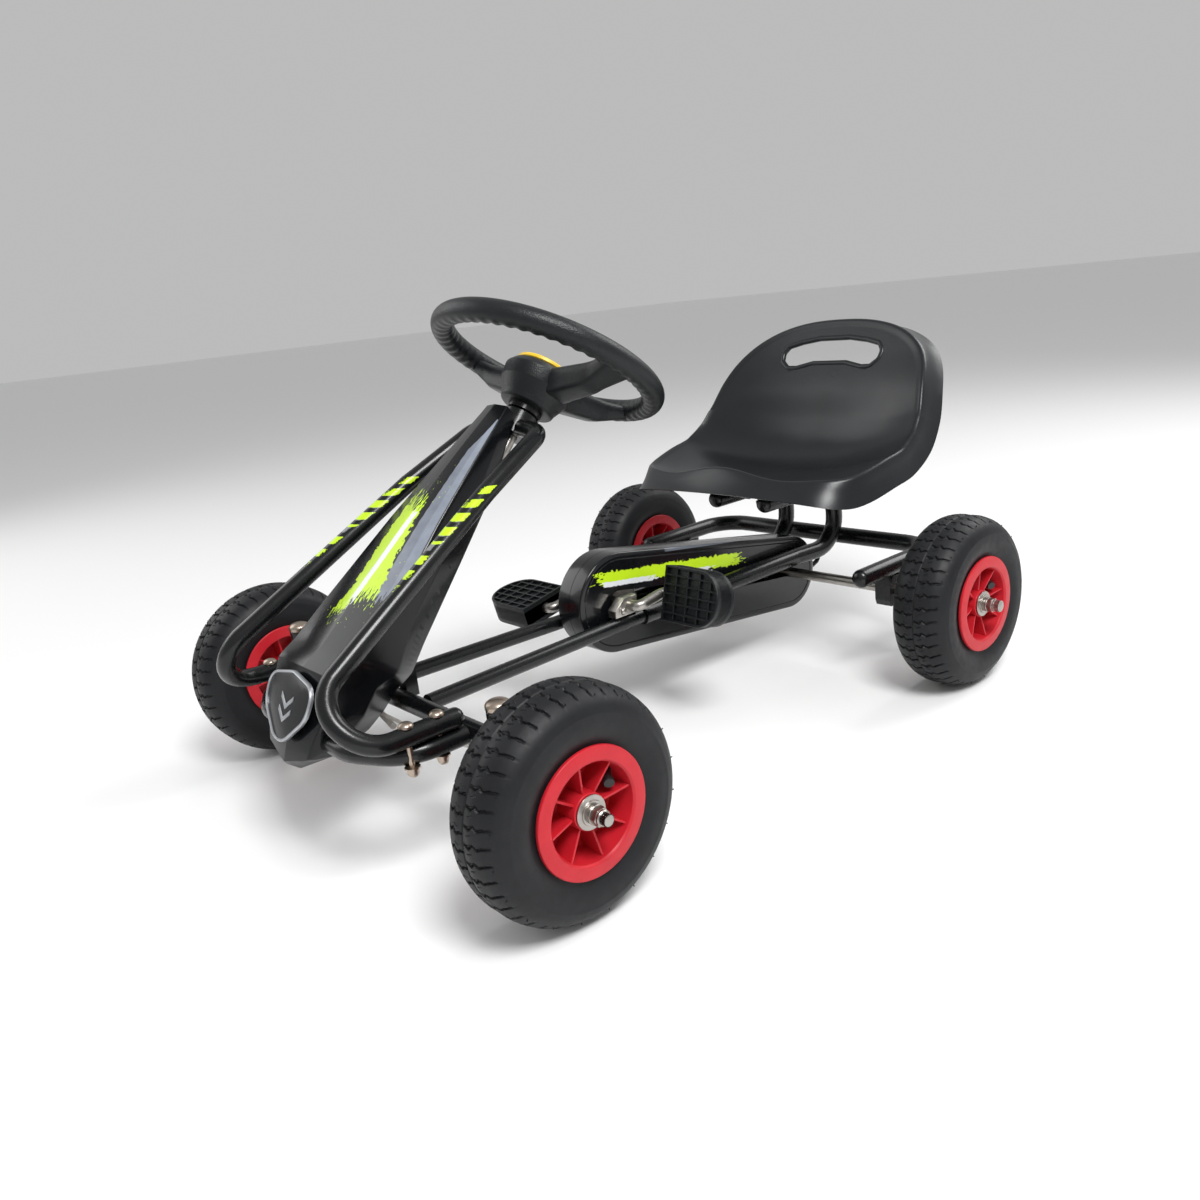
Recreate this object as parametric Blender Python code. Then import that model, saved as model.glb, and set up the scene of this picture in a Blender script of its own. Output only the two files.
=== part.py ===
"""Pedal go kart: twin-tube frame, steered front wheels, chain drive to the rear axle.

Metres, +Z up.  The kart faces -Y and the driver's left is +X.  Every place below is given
from the middle of the wheelbase on the ground; the "kart" empty then moves the whole kart
by SHIFT_Y, so that the origin is under the middle of its bounding box.
"""
import bpy
import bmesh
import numpy as np
from math import asin, atan2, cos, hypot, pi, radians, sin, tan
from mathutils import Matrix, Vector

for old in list(bpy.data.objects):
    bpy.data.objects.remove(old, do_unlink=True)

# ---- driving dimensions -------------------------------------------------------------
SHIFT_Y = -0.0381
WHEELBASE = 0.680
FRONT_TRACK = 0.612
REAR_TRACK = 0.600
TYRE_RADIUS = 0.1125
TYRE_HALF_WIDTH = 0.039
FLANGE_RADIUS = 0.0625
AXLE_RADIUS = 0.0060
REAR_AXLE_RADIUS = 0.0075
AXLE_TIP = 0.058
WHEEL_SIDES = 24
GUARD_TUBE = 0.0105
FRONT_TUBE = 0.0095
REAR_TUBE = 0.0125
GAP = 0.0004

FRONT_Y = -WHEELBASE / 2
REAR_Y = WHEELBASE / 2
BEAM_Z = 0.1390
BEAM_Y = FRONT_Y + 0.006
KINGPIN_X = 0.2160
SLEEVE_RADIUS = 0.0125
COLUMN_TILT = radians(41.5)
COLUMN_TOP = Vector((0.0, -0.0631, 0.4723))
CRANK_Y = -0.0100
CRANK_Z = 0.1620
CRANK_THROW = 0.0500
CRANK_ANGLE = radians(9.0)
CRANK_ROD = 0.0070
CRANK_TEETH = 24
SPROCKET_TEETH = 16
CHAIN_PITCH = 0.0127
CASE_HALF_WIDTH = 0.0228
CASE_WALL = 0.0025
FRAME_TUBE_X = 0.0365
RAIL_X = 0.0460
RAIL_Z = 0.2370
CROSS_Y = 0.4460
CROSS_Z = 0.1480
SIDES = (("left", 1), ("right", -1))


# ---- materials ----------------------------------------------------------------------
def material(name, colour, roughness, metallic=0.0):
    """One Principled material with a plain colour."""
    made = bpy.data.materials.new(name)
    made.use_nodes = True
    shader = made.node_tree.nodes["Principled BSDF"]
    shader.inputs["Base Color"].default_value = (*colour, 1.0)
    shader.inputs["Roughness"].default_value = roughness
    shader.inputs["Metallic"].default_value = metallic
    made.diffuse_color = (*colour, 1.0)
    return made


BLACK_PAINT = material("black_paint", (0.012, 0.012, 0.014), 0.30)
BLACK_COVER = material("black_cover", (0.010, 0.011, 0.013), 0.18)
BLACK_PLASTIC = material("black_plastic", (0.018, 0.019, 0.021), 0.50)
SEAT_PLASTIC = material("seat_plastic", (0.020, 0.023, 0.027), 0.42)
RED_PLASTIC = material("red_plastic", (0.560, 0.015, 0.030), 0.40)
RUBBER = material("rubber", (0.015, 0.016, 0.019), 0.62)
ZINC = material("zinc", (0.560, 0.540, 0.510), 0.32, 1.0)
SILVER = material("silver", (0.380, 0.400, 0.420), 0.35, 0.6)
YELLOW = material("yellow", (0.760, 0.520, 0.030), 0.45)


# ---- building helpers ---------------------------------------------------------------
def empty(name, place, parent=None):
    """An empty that carries a moving group or the whole kart."""
    made = bpy.data.objects.new(name, None)
    bpy.context.collection.objects.link(made)
    made.location = place
    made.parent = parent
    return made


def add_object(name, bm, look, parent, origin=(0.0, 0.0, 0.0), smooth=40.0):
    """Turn a bmesh, built in kart coordinates, into an object whose origin is at origin."""
    bmesh.ops.remove_doubles(bm, verts=bm.verts, dist=0.000005)
    bmesh.ops.recalc_face_normals(bm, faces=bm.faces)
    bm.transform(Matrix.Translation(-Vector(origin)))
    mesh = bpy.data.meshes.new(name)
    bm.to_mesh(mesh)
    bm.free()
    mesh.shade_smooth()
    mesh.set_sharp_from_angle(angle=radians(smooth))
    made = bpy.data.objects.new(name, mesh)
    bpy.context.collection.objects.link(made)
    if look is not None:
        mesh.materials.append(look)
    made.parent = parent
    made.location = Vector(origin) - kart_place(parent)
    return made


def kart_place(thing):
    """Where an empty stands, in kart coordinates."""
    place = Vector((0.0, 0.0, 0.0))
    while thing is not None and thing is not KART:
        place += thing.location
        thing = thing.parent
    return place


def join_rings(bm, rings, closed):
    """Skin a list of equal rings of vertices; open skins get flat end caps."""
    count = len(rings)
    for i in range(count if closed else count - 1):
        a, b = rings[i], rings[(i + 1) % count]
        for j in range(len(a)):
            k = (j + 1) % len(a)
            bm.faces.new((a[j], a[k], b[k], b[j]))
    if not closed:
        bm.faces.new(list(reversed(rings[0])))
        bm.faces.new(rings[-1])


def frame_of(axis):
    """Two unit vectors square to axis; for +X they are +Y and +Z."""
    axis = Vector(axis).normalized()
    if abs(axis.x) > 0.9:
        first = Vector((0.0, 1.0, 0.0))
    else:
        first = Vector((1.0, 0.0, 0.0))
    first = (first - axis * first.dot(axis)).normalized()
    return first, axis.cross(first)


def turned(profile, centre, axis, segments=24, closed=False, turn=0.0):
    """Spin (radius, along-axis) points about an axis; a closed profile makes a ring."""
    bm = bmesh.new()
    first, second = frame_of(axis)
    axis = Vector(axis).normalized()
    rings = []
    for radius, along in profile:
        middle = Vector(centre) + axis * along
        ring = []
        for step in range(segments):
            angle = turn + 2 * pi * step / segments
            ring.append(bm.verts.new(middle + (first * cos(angle) + second * sin(angle)) * radius))
        rings.append(ring)
    join_rings(bm, rings, closed)
    return bm


def rod(start, end, radius, segments=12):
    """A plain round bar between two points."""
    start, end = Vector(start), Vector(end)
    return turned([(radius, 0.0), (radius, (end - start).length)], start, end - start, segments)


def rounded_route(points, bend, steps=3):
    """Replace each inner corner of a polyline by an arc of the given bend radius."""
    points = [Vector(p) for p in points]
    route = [points[0]]
    for before, corner, after in zip(points, points[1:], points[2:]):
        back = (before - corner).normalized()
        ahead = (after - corner).normalized()
        half = back.angle(ahead) / 2
        if half > radians(89.0):
            route.append(corner)
            continue
        reach = min(bend / tan(half), 0.49 * min((before - corner).length, (after - corner).length))
        radius = reach * tan(half)
        middle = corner + (back + ahead).normalized() * (radius / sin(half))
        a = corner + back * reach - middle
        b = corner + ahead * reach - middle
        sweep_angle = a.angle(b)
        for step in range(steps + 1):
            t = step / steps
            mix = (a * sin((1 - t) * sweep_angle) + b * sin(t * sweep_angle)) / sin(sweep_angle)
            route.append(middle + mix)
    route.append(points[-1])
    return route


def swept(route, radius, segments=10, taper=None):
    """Carry a circle along a route without twisting; taper scales the ring at each point."""
    bm = bmesh.new()
    tangents = []
    for i in range(len(route)):
        ahead = route[min(i + 1, len(route) - 1)] - route[max(i - 1, 0)]
        tangents.append(ahead.normalized())
    side = frame_of(tangents[0])[0]
    rings = []
    for i, (point, tangent) in enumerate(zip(route, tangents)):
        side = (side - tangent * side.dot(tangent)).normalized()
        up = tangent.cross(side)
        size = radius if taper is None else radius * taper[i]
        ring = []
        for step in range(segments):
            angle = 2 * pi * (step + 0.5) / segments
            ring.append(bm.verts.new(point + (side * cos(angle) + up * sin(angle)) * size))
        rings.append(ring)
    join_rings(bm, rings, False)
    return bm


def capped_ends(route, radius, first=False, last=True):
    """Add a rounded plastic-cap nose to the ends of a tube route, with its taper list."""
    taper = [1.0] * len(route)
    nose = ((0.45, 0.87), (0.80, 0.55))
    if last:
        way = (route[-1] - route[-2]).normalized()
        tip = route[-1]
        for along, size in nose:
            route.append(tip + way * radius * along)
            taper.append(size)
    if first:
        way = (route[0] - route[1]).normalized()
        tip = route[0]
        for along, size in nose:
            route.insert(0, tip + way * radius * along)
            taper.insert(0, size)
    return route, taper


def slab(outline, low, high, place):
    """Extrude a flat outline; place(u, v, w) turns outline and depth into kart coordinates."""
    bm = bmesh.new()
    rings = [[bm.verts.new(place(u, v, w)) for u, v in outline] for w in (low, high)]
    join_rings(bm, rings, False)
    return bm


def along_x(u, v, w):
    """Outline in the YZ plane, depth along X."""
    return Vector((w, u, v))


def block(low, high):
    """A box between two corners."""
    bm = bmesh.new()
    low, high = Vector(low), Vector(high)
    bmesh.ops.create_cube(bm, size=1.0)
    bmesh.ops.scale(bm, vec=high - low, verts=bm.verts)
    bmesh.ops.translate(bm, vec=(low + high) / 2, verts=bm.verts)
    return bm


def tool(name, bm, parent, origin=(0.0, 0.0, 0.0)):
    """A hidden helper body for a Boolean."""
    made = add_object(name, bm, None, parent, origin)
    made.hide_render = True
    made.display_type = "WIRE"
    return made


def combine(target, helper, operation):
    """Cut a helper body from a target, or weld it on, with an exact Boolean."""
    step = target.modifiers.new(operation.lower() + "_" + helper.name, "BOOLEAN")
    step.operation = operation
    step.object = helper
    step.solver = "EXACT"


def bore(target, start, end, radius, parent, label, segments=16, origin=(0.0, 0.0, 0.0)):
    """Drill a round hole between two points."""
    combine(target, tool(label, rod(start, end, radius, segments), parent, origin), "DIFFERENCE")


def belt_outline(radius_front, radius_rear, steps=12):
    """The outline of a belt round the crank circle and the rear-axle circle, in Y and Z."""
    run_y, run_z = REAR_Y - CRANK_Y, TYRE_RADIUS - CRANK_Z
    length = hypot(run_y, run_z)
    lean = atan2(run_z, run_y)
    spread = pi / 2 + asin((radius_rear - radius_front) / length)
    outline = []
    for step in range(steps + 1):
        angle = lean + spread + (2 * pi - 2 * spread) * step / steps
        outline.append((CRANK_Y + radius_front * cos(angle), CRANK_Z + radius_front * sin(angle)))
    for step in range(steps + 1):
        angle = lean - spread + 2 * spread * step / steps
        outline.append((REAR_Y + radius_rear * cos(angle), TYRE_RADIUS + radius_rear * sin(angle)))
    return outline


def toothed_outline(teeth, centre_y, centre_z, depth=0.0022):
    """A chain wheel's outline: a short flat tooth between round-bottomed gaps."""
    pitch_radius = CHAIN_PITCH / (2 * sin(pi / teeth))
    outline = []
    for tooth in range(teeth):
        for part, radius in ((0.30, depth), (0.70, depth), (0.90, -depth), (1.10, -depth)):
            angle = 2 * pi * (tooth + part) / teeth
            reach = pitch_radius + radius
            outline.append((centre_y + reach * cos(angle), centre_z + reach * sin(angle)))
    return outline


# ---- moving groups ------------------------------------------------------------------
KART = empty("kart", (0.0, SHIFT_Y, 0.0))
COLUMN_AXIS = Vector((0.0, sin(COLUMN_TILT), cos(COLUMN_TILT)))
COLUMN_SQUARE = Vector((0.0, cos(COLUMN_TILT), -sin(COLUMN_TILT)))
STEERING = empty("steering_axis", COLUMN_TOP, KART)
CRANK_AXIS = empty("crank_axis", (0.0, CRANK_Y, CRANK_Z), KART)
REAR_AXIS = empty("rear_axle_axis", (0.0, REAR_Y, TYRE_RADIUS), KART)
SEAT_SLIDE = empty("seat_slide", (0.0, 0.33, RAIL_Z), KART)


def column_point(height):
    """The point of the steering column's axis at a height above the ground."""
    drop = (COLUMN_TOP.z - height) / cos(COLUMN_TILT)
    return COLUMN_TOP - COLUMN_AXIS * drop


# ---- front frame --------------------------------------------------------------------
GUARD_LOW_X = 0.1560
GUARD_LOW_Z = BEAM_Z + 2 * GUARD_TUBE + GAP
GUARD_BOLT_Y = (FRONT_Y - 0.068, FRONT_Y - 0.0335)
HEAD_HEIGHT = 0.4080


def front_frame():
    """Front beam, bumper tube, king-pin sleeves and the two drilled guard-tube seats."""
    end = KINGPIN_X - SLEEVE_RADIUS - GAP
    beam = rod((-end, BEAM_Y, BEAM_Z), (end, BEAM_Y, BEAM_Z), GUARD_TUBE, 12)
    add_object("front_beam", beam, BLACK_PAINT, KART)

    leg = GUARD_LOW_X
    stop = BEAM_Y - GUARD_TUBE - GAP
    loop = [(leg, stop, BEAM_Z), (leg, FRONT_Y - 0.070, BEAM_Z), (leg - 0.062, FRONT_Y - 0.102, BEAM_Z)]
    loop = loop + [(-x, y, z) for x, y, z in reversed(loop)]
    bumper = add_object("bumper_tube", swept(rounded_route(loop, 0.06), GUARD_TUBE), BLACK_PAINT, KART)
    for side, sign in SIDES:
        for number, along in enumerate(GUARD_BOLT_Y, 1):
            top = (sign * leg, along, BEAM_Z + 0.02)
            low = (sign * leg, along, BEAM_Z - 0.02)
            bore(bumper, low, top, 0.0034, KART, f"bumper_hole_{side}_{number}", 10)

        sleeve = [(SLEEVE_RADIUS, 0.128), (SLEEVE_RADIUS, 0.180), (0.0070, 0.180), (0.0070, 0.128)]
        place = (sign * KINGPIN_X, FRONT_Y, 0.0)
        add_object(f"kingpin_sleeve_{side}", turned(sleeve, place, (0, 0, 1), 16, True), BLACK_PAINT, KART)
        dome = [(0.0128, 0.1803)]
        for step in range(4):
            angle = radians(22.5 * step)
            dome.append((0.0128 * cos(angle), 0.1840 + 0.0070 * sin(angle)))
        dome.append((0.0020, 0.1910))
        add_object(f"kingpin_cap_{side}", turned(dome, place, (0, 0, 1), 16), ZINC, KART)


def guard_tubes():
    """The bent side tubes: from the column head out over the front and back to the beam."""
    for side, sign in SIDES:
        points = [
            (0.0225, -0.1290, 0.4073),
            (0.0640, -0.1370, 0.4035),
            (0.0801, -0.2304, 0.3555),
            (0.1022, -0.3924, 0.2718),
            (0.1162, -0.4761, 0.2045),
            (0.1560, -0.4530, GUARD_LOW_Z),
            (0.1560, BEAM_Y - 0.019, GUARD_LOW_Z),
        ]
        points = [(sign * x, y, z) for x, y, z in points]
        upper = rounded_route(points[:4], 0.0175, 4)
        lower = rounded_route(points[3:], 0.042)
        route, taper = capped_ends(upper[:-1] + lower[1:], GUARD_TUBE)
        guard = add_object(f"guard_tube_{side}", swept(route, GUARD_TUBE, 10, taper), BLACK_PAINT, KART)
        for number, along in enumerate(GUARD_BOLT_Y, 1):
            top = (sign * GUARD_LOW_X, along, GUARD_LOW_Z + 0.02)
            low = (sign * GUARD_LOW_X, along, GUARD_LOW_Z - 0.02)
            bore(guard, low, top, 0.0034, KART, f"guard_hole_{side}_{number}", 10)
            head = GUARD_LOW_Z + GUARD_TUBE
            tip = BEAM_Z - GUARD_TUBE - 0.0075
            bolt = [(0.0030, tip), (0.0030, head + 0.0004), (0.0062, head + 0.0004)]
            bolt += [(0.0062, head + 0.0034), (0.0030, head + 0.0050)]
            place = (sign * GUARD_LOW_X, along, 0.0)
            add_object(f"guard_bolt_{side}_{number}", turned(bolt, place, (0, 0, 1), 10), ZINC, KART)


def main_tubes():
    """The thin front pair, the thick rear pair that turns up into the seat rails, the rear loop."""
    joint_y = 0.0150
    for side, sign in SIDES:
        front = [(0.0520, BEAM_Y + GUARD_TUBE + GAP, 0.1400), (FRAME_TUBE_X, joint_y - 3 * GAP, 0.1400)]
        front = [(sign * x, y, z) for x, y, z in front]
        add_object(f"front_tube_{side}", rod(front[0], front[1], FRONT_TUBE, 12), BLACK_PAINT, KART)
        rear = [
            (FRAME_TUBE_X, joint_y, 0.1400),
            (FRAME_TUBE_X, 0.3300, 0.1400),
            (RAIL_X, 0.4200, 0.1400),
            (RAIL_X, 0.4200, RAIL_Z),
            (RAIL_X, 0.2600, RAIL_Z),
        ]
        rear = [Vector((sign * x, y, z)) for x, y, z in rear]
        route, taper = capped_ends(rounded_route(rear, 0.045), REAR_TUBE)
        add_object(f"seat_rail_{side}", swept(route, REAR_TUBE, 12, taper), BLACK_PAINT, KART)

    half = [(0.2030, CROSS_Y, CROSS_Z), (0.2030, 0.2620, CROSS_Z)]
    loop = [(-x, y, z) for x, y, z in reversed(half)] + half
    route, taper = capped_ends(rounded_route(loop, 0.050), REAR_TUBE, True, True)
    add_object("rear_loop", swept(route, REAR_TUBE, 12, taper), BLACK_PAINT, KART)

    stay = [(0.0120, CROSS_Y - 0.018, 0.1330), (0.0120, 0.4180, 0.1100), (0.0120, 0.4000, 0.1040)]
    add_object("case_stay", swept(rounded_route(stay, 0.010), 0.0035, 8), BLACK_PAINT, KART)


def bearing_brackets():
    """Steel hangers under the rear loop, each drilled for the axle."""
    for side, sign in SIDES:
        outline = [(-0.0160, -0.0200), (0.0160, -0.0200), (0.0190, -0.0120), (0.0190, 0.0100)]
        outline += [(0.0120, 0.0226), (-0.0120, 0.0226), (-0.0190, 0.0100), (-0.0190, -0.0120)]
        outline = [(REAR_Y + u, TYRE_RADIUS + v) for u, v in outline]
        low, high = sorted((sign * 0.1840, sign * 0.2080))
        hanger = add_object(f"axle_bearing_{side}", slab(outline, low, high, along_x), BLACK_PAINT, KART)
        start = (sign * 0.170, REAR_Y, TYRE_RADIUS)
        end = (sign * 0.220, REAR_Y, TYRE_RADIUS)
        bore(hanger, start, end, REAR_AXLE_RADIUS + 0.0006, KART, f"bearing_hole_{side}")


# ---- steering -----------------------------------------------------------------------
SHAFT_RADIUS = 0.0065
SHAFT_FOOT = 0.1350
PITMAN_REACH = 0.0300
ARM_REACH = 0.0450
ARM_Z = 0.0990
TIE_Z = 0.1075


def steering_column():
    """Head and foot bushes, the shaft, and the short arm at its foot."""
    head = column_point(HEAD_HEIGHT)
    ring = [(0.0205, -0.0150), (0.0205, 0.0150), (0.0072, 0.0150), (0.0072, -0.0150)]
    add_object("column_head", turned(ring, head, COLUMN_AXIS, 20, True), BLACK_PAINT, KART)

    foot = column_point(0.1840)
    ring = [(0.0115, -0.0100), (0.0115, 0.0100), (0.0072, 0.0100), (0.0072, -0.0100)]
    bush = add_object("column_foot", turned(ring, foot, COLUMN_AXIS, 16, True), BLACK_PAINT, KART)
    web = block((-0.008, BEAM_Y + GUARD_TUBE + GAP, BEAM_Z - 0.004), (0.008, BEAM_Y + 0.026, 0.180))
    combine(bush, tool("column_foot_web", web, KART), "UNION")
    start, end = column_point(0.140), column_point(0.215)
    bore(bush, start, end, 0.0072, KART, "column_foot_hole")

    low, high = column_point(SHAFT_FOOT), column_point(0.4370)
    add_object("steering_shaft", rod(low, high, SHAFT_RADIUS, 14), ZINC, STEERING, COLUMN_TOP)

    def on_arm(u, v, w):
        return low + Vector((u, 0, 0)) + COLUMN_SQUARE * v - COLUMN_AXIS * (w + GAP)

    outline = [(-0.010, -0.008), (0.010, -0.008), (0.012, 0.010), (0.010, PITMAN_REACH + 0.008)]
    outline += [(-0.010, PITMAN_REACH + 0.008), (-0.012, 0.010)]
    plate = slab(outline, 0.0, 0.0040, on_arm)
    add_object("pitman_arm", plate, ZINC, STEERING, COLUMN_TOP)


RIM_TILT = radians(33.0)
RIM_RADIUS = 0.1318
RIM_TUBE = 0.0138
RIM_AXIS = Vector((0.0, sin(RIM_TILT), cos(RIM_TILT)))
RIM_SIDE = Vector((1.0, 0.0, 0.0))
RIM_FORWARD = RIM_AXIS.cross(RIM_SIDE) * -1


def steering_wheel():
    """Moulded rim on three spokes, with a deep hub, and the round centre pad."""
    ring = []
    for step in range(8):
        angle = 2 * pi * (step + 0.5) / 8
        ring.append((RIM_RADIUS + RIM_TUBE * cos(angle), RIM_TUBE * sin(angle)))
    wheel = turned(ring, COLUMN_TOP, RIM_AXIS, 40, True)
    wheel = add_object("steering_wheel", wheel, BLACK_PLASTIC, STEERING, COLUMN_TOP)
    hub_centre = COLUMN_TOP - COLUMN_AXIS * 0.022
    hub = [(0.0340, 0.006), (0.0380, 0.0), (0.0360, -0.014), (0.0260, -0.030), (0.0250, -0.0360)]
    hub = turned(hub, hub_centre, COLUMN_AXIS, 20)
    combine(wheel, tool("wheel_hub", hub, STEERING, COLUMN_TOP), "UNION")
    for name, angle in (("left", 0.0), ("right", 180.0), ("rear", 270.0)):
        way = RIM_SIDE * cos(radians(angle)) + RIM_FORWARD * sin(radians(angle))
        across = RIM_AXIS.cross(way)
        spoke = bmesh.new()
        rings = []
        for reach, half, top, low in ((0.020, 0.0200, -0.018, -0.040), (0.075, 0.0150, -0.008, -0.022),
                                      (0.1310, 0.0170, 0.003, -0.008)):
            corners = ((-half, top), (half, top), (half * 0.8, low), (-half * 0.8, low))
            base = COLUMN_TOP + way * reach
            rings.append([spoke.verts.new(base + across * a + RIM_AXIS * b) for a, b in corners])
        join_rings(spoke, rings, False)
        combine(wheel, tool(f"wheel_spoke_{name}", spoke, STEERING, COLUMN_TOP), "UNION")
    start, end = column_point(0.380), column_point(0.4400)
    bore(wheel, start, end, SHAFT_RADIUS + GAP, STEERING, "wheel_socket", 14, COLUMN_TOP)

    pad_base = hub_centre + COLUMN_AXIS * (0.0094 + GAP)
    pad = [(0.0300, 0.0), (0.0300, 0.0040), (0.0240, 0.0070), (0.0100, 0.0085)]
    add_object("wheel_pad", turned(pad, pad_base, COLUMN_AXIS, 20), YELLOW, STEERING, COLUMN_TOP)


def front_axles():
    """Stub axles on king pins, the steering arms on them, and the two tie rods."""
    for side, sign in SIDES:
        pin = Vector((sign * KINGPIN_X, FRONT_Y, 0.0))
        pivot = empty(f"knuckle_{side}_axis", pin, KART)
        wheel_x = sign * FRONT_TRACK / 2
        barrel = [(0.0130, 0.0960), (0.0130, 0.1240), (0.0060, 0.1240), (0.0060, 0.1780)]
        spindle = turned(barrel, pin, (0, 0, 1), 14)
        spindle = add_object(f"spindle_{side}", spindle, BLACK_PAINT, pivot, pin)
        start = pin + Vector((0, 0, TYRE_RADIUS))
        end = Vector((wheel_x + sign * AXLE_TIP, FRONT_Y, TYRE_RADIUS))
        stub = tool(f"stub_axle_{side}", rod(start, end, AXLE_RADIUS, 14), pivot, pin)
        combine(spindle, stub, "UNION")
        arm_end = pin + Vector((-sign * 0.004, ARM_REACH, 0))
        arm = block(pin + Vector((-0.008, 0.0, ARM_Z - 0.0025)), pin + Vector((0.008, ARM_REACH + 0.008, ARM_Z + 0.0025)))
        combine(spindle, tool(f"steering_arm_{side}", arm, pivot, pin), "UNION")

        joint = empty(f"tie_rod_{side}_axis", arm_end, KART)
        tip = column_point(SHAFT_FOOT) + COLUMN_SQUARE * PITMAN_REACH
        outer = Vector((arm_end.x, arm_end.y, TIE_Z))
        inner = Vector((sign * 0.0080, tip.y, tip.z - 0.0130))
        tie = [outer, outer + (inner - outer) * 0.5, inner]
        tie = add_object(f"tie_rod_{side}", swept(tie, 0.0040, 8), ZINC, joint, arm_end)
        eye = turned([(0.0075, -0.005), (0.0075, 0.005)], outer, (0, 0, 1), 12)
        combine(tie, tool(f"tie_eye_{side}", eye, joint, arm_end), "UNION")


# ---- wheels -------------------------------------------------------------------------
def road_wheel(label, x, y, outward, parent):
    """A pneumatic tyre on a red moulded rim, with the nut and washer on the axle's tip."""
    centre = Vector((x, y, TYRE_RADIUS))
    half = [(0.0530, 0.0270), (0.0530, 0.0330), (0.0640, 0.0330), (0.0780, TYRE_HALF_WIDTH),
            (0.0960, 0.0370), (0.1075, 0.0260), (TYRE_RADIUS, 0.0100)]
    lining = [(0.1050, 0.0100), (0.0880, 0.0320)]
    ring = half + [(r, -a) for r, a in reversed(half)] + [(r, -a) for r, a in reversed(lining)] + lining
    tyre = turned(ring, centre, (1, 0, 0), WHEEL_SIDES, True, -pi / 2)
    add_object(f"tyre_{label}", tyre, RUBBER, parent, centre)

    bore_radius = REAR_AXLE_RADIUS + 0.0008
    rim = [(bore_radius, -0.0300), (0.0180, -0.0300), (0.0180, -0.0060), (0.0460, -0.0060),
           (0.0470, -0.0340), (FLANGE_RADIUS, -0.0370), (FLANGE_RADIUS, -0.0345), (0.0525, -0.0336),
           (0.0500, 0.0), (0.0525, 0.0336), (FLANGE_RADIUS, 0.0345), (FLANGE_RADIUS, 0.0385),
           (0.0470, 0.0380), (0.0460, 0.0080), (0.0180, 0.0080), (0.0180, 0.0330), (bore_radius, 0.0330)]
    rim = turned([(r, a * outward) for r, a in rim], centre, (1, 0, 0), WHEEL_SIDES, True, -pi / 2)
    add_object(f"rim_{label}", rim, RED_PLASTIC, parent, centre)
    return centre


def axle_nut(label, x, y, outward, bore_radius, parent, origin):
    """Washer, hexagon and turned collar in one piece on the end of an axle."""
    centre = Vector((x, y, TYRE_RADIUS))
    profile = [(bore_radius, 0.0340), (0.0130, 0.0340), (0.0130, 0.0360), (0.0098, 0.0364),
               (0.0098, 0.0450), (bore_radius, 0.0450)]
    nut = turned([(r, a * outward) for r, a in profile], centre, (1, 0, 0), 12, True)
    add_object(f"axle_nut_{label}", nut, ZINC, parent, origin)


def wheels():
    """Two steered wheels on the stub axles, the driven rear wheel, the free rear wheel."""
    for side, sign in SIDES:
        x = sign * FRONT_TRACK / 2
        pin = Vector((sign * KINGPIN_X, FRONT_Y, 0.0))
        pivot = bpy.data.objects[f"knuckle_{side}_axis"]
        hub = Vector((x, FRONT_Y, TYRE_RADIUS))
        spin = empty(f"wheel_front_{side}_axis", hub - pin, pivot)
        road_wheel(f"front_{side}", x, FRONT_Y, sign, spin)
        axle_nut(f"front_{side}", x, FRONT_Y, sign, AXLE_RADIUS + GAP, pivot, pin)

        x = sign * REAR_TRACK / 2
        hub = Vector((x, REAR_Y, TYRE_RADIUS))
        if side == "left":
            spin = REAR_AXIS
        else:
            spin = empty("wheel_rear_right_axis", hub, KART)
        road_wheel(f"rear_{side}", x, REAR_Y, sign, spin)
        origin = (0.0, REAR_Y, TYRE_RADIUS)
        axle_nut(f"rear_{side}", x, REAR_Y, sign, REAR_AXLE_RADIUS + GAP, REAR_AXIS, origin)


# ---- drive --------------------------------------------------------------------------
PEDAL_TILT = {"left": 75.0, "right": 12.0}
PEDAL_INNER = 0.0700
PEDAL_BEND_X = 0.1290
PEDAL_HALF = 0.0355
PEDAL_THICK = 0.0155


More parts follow.
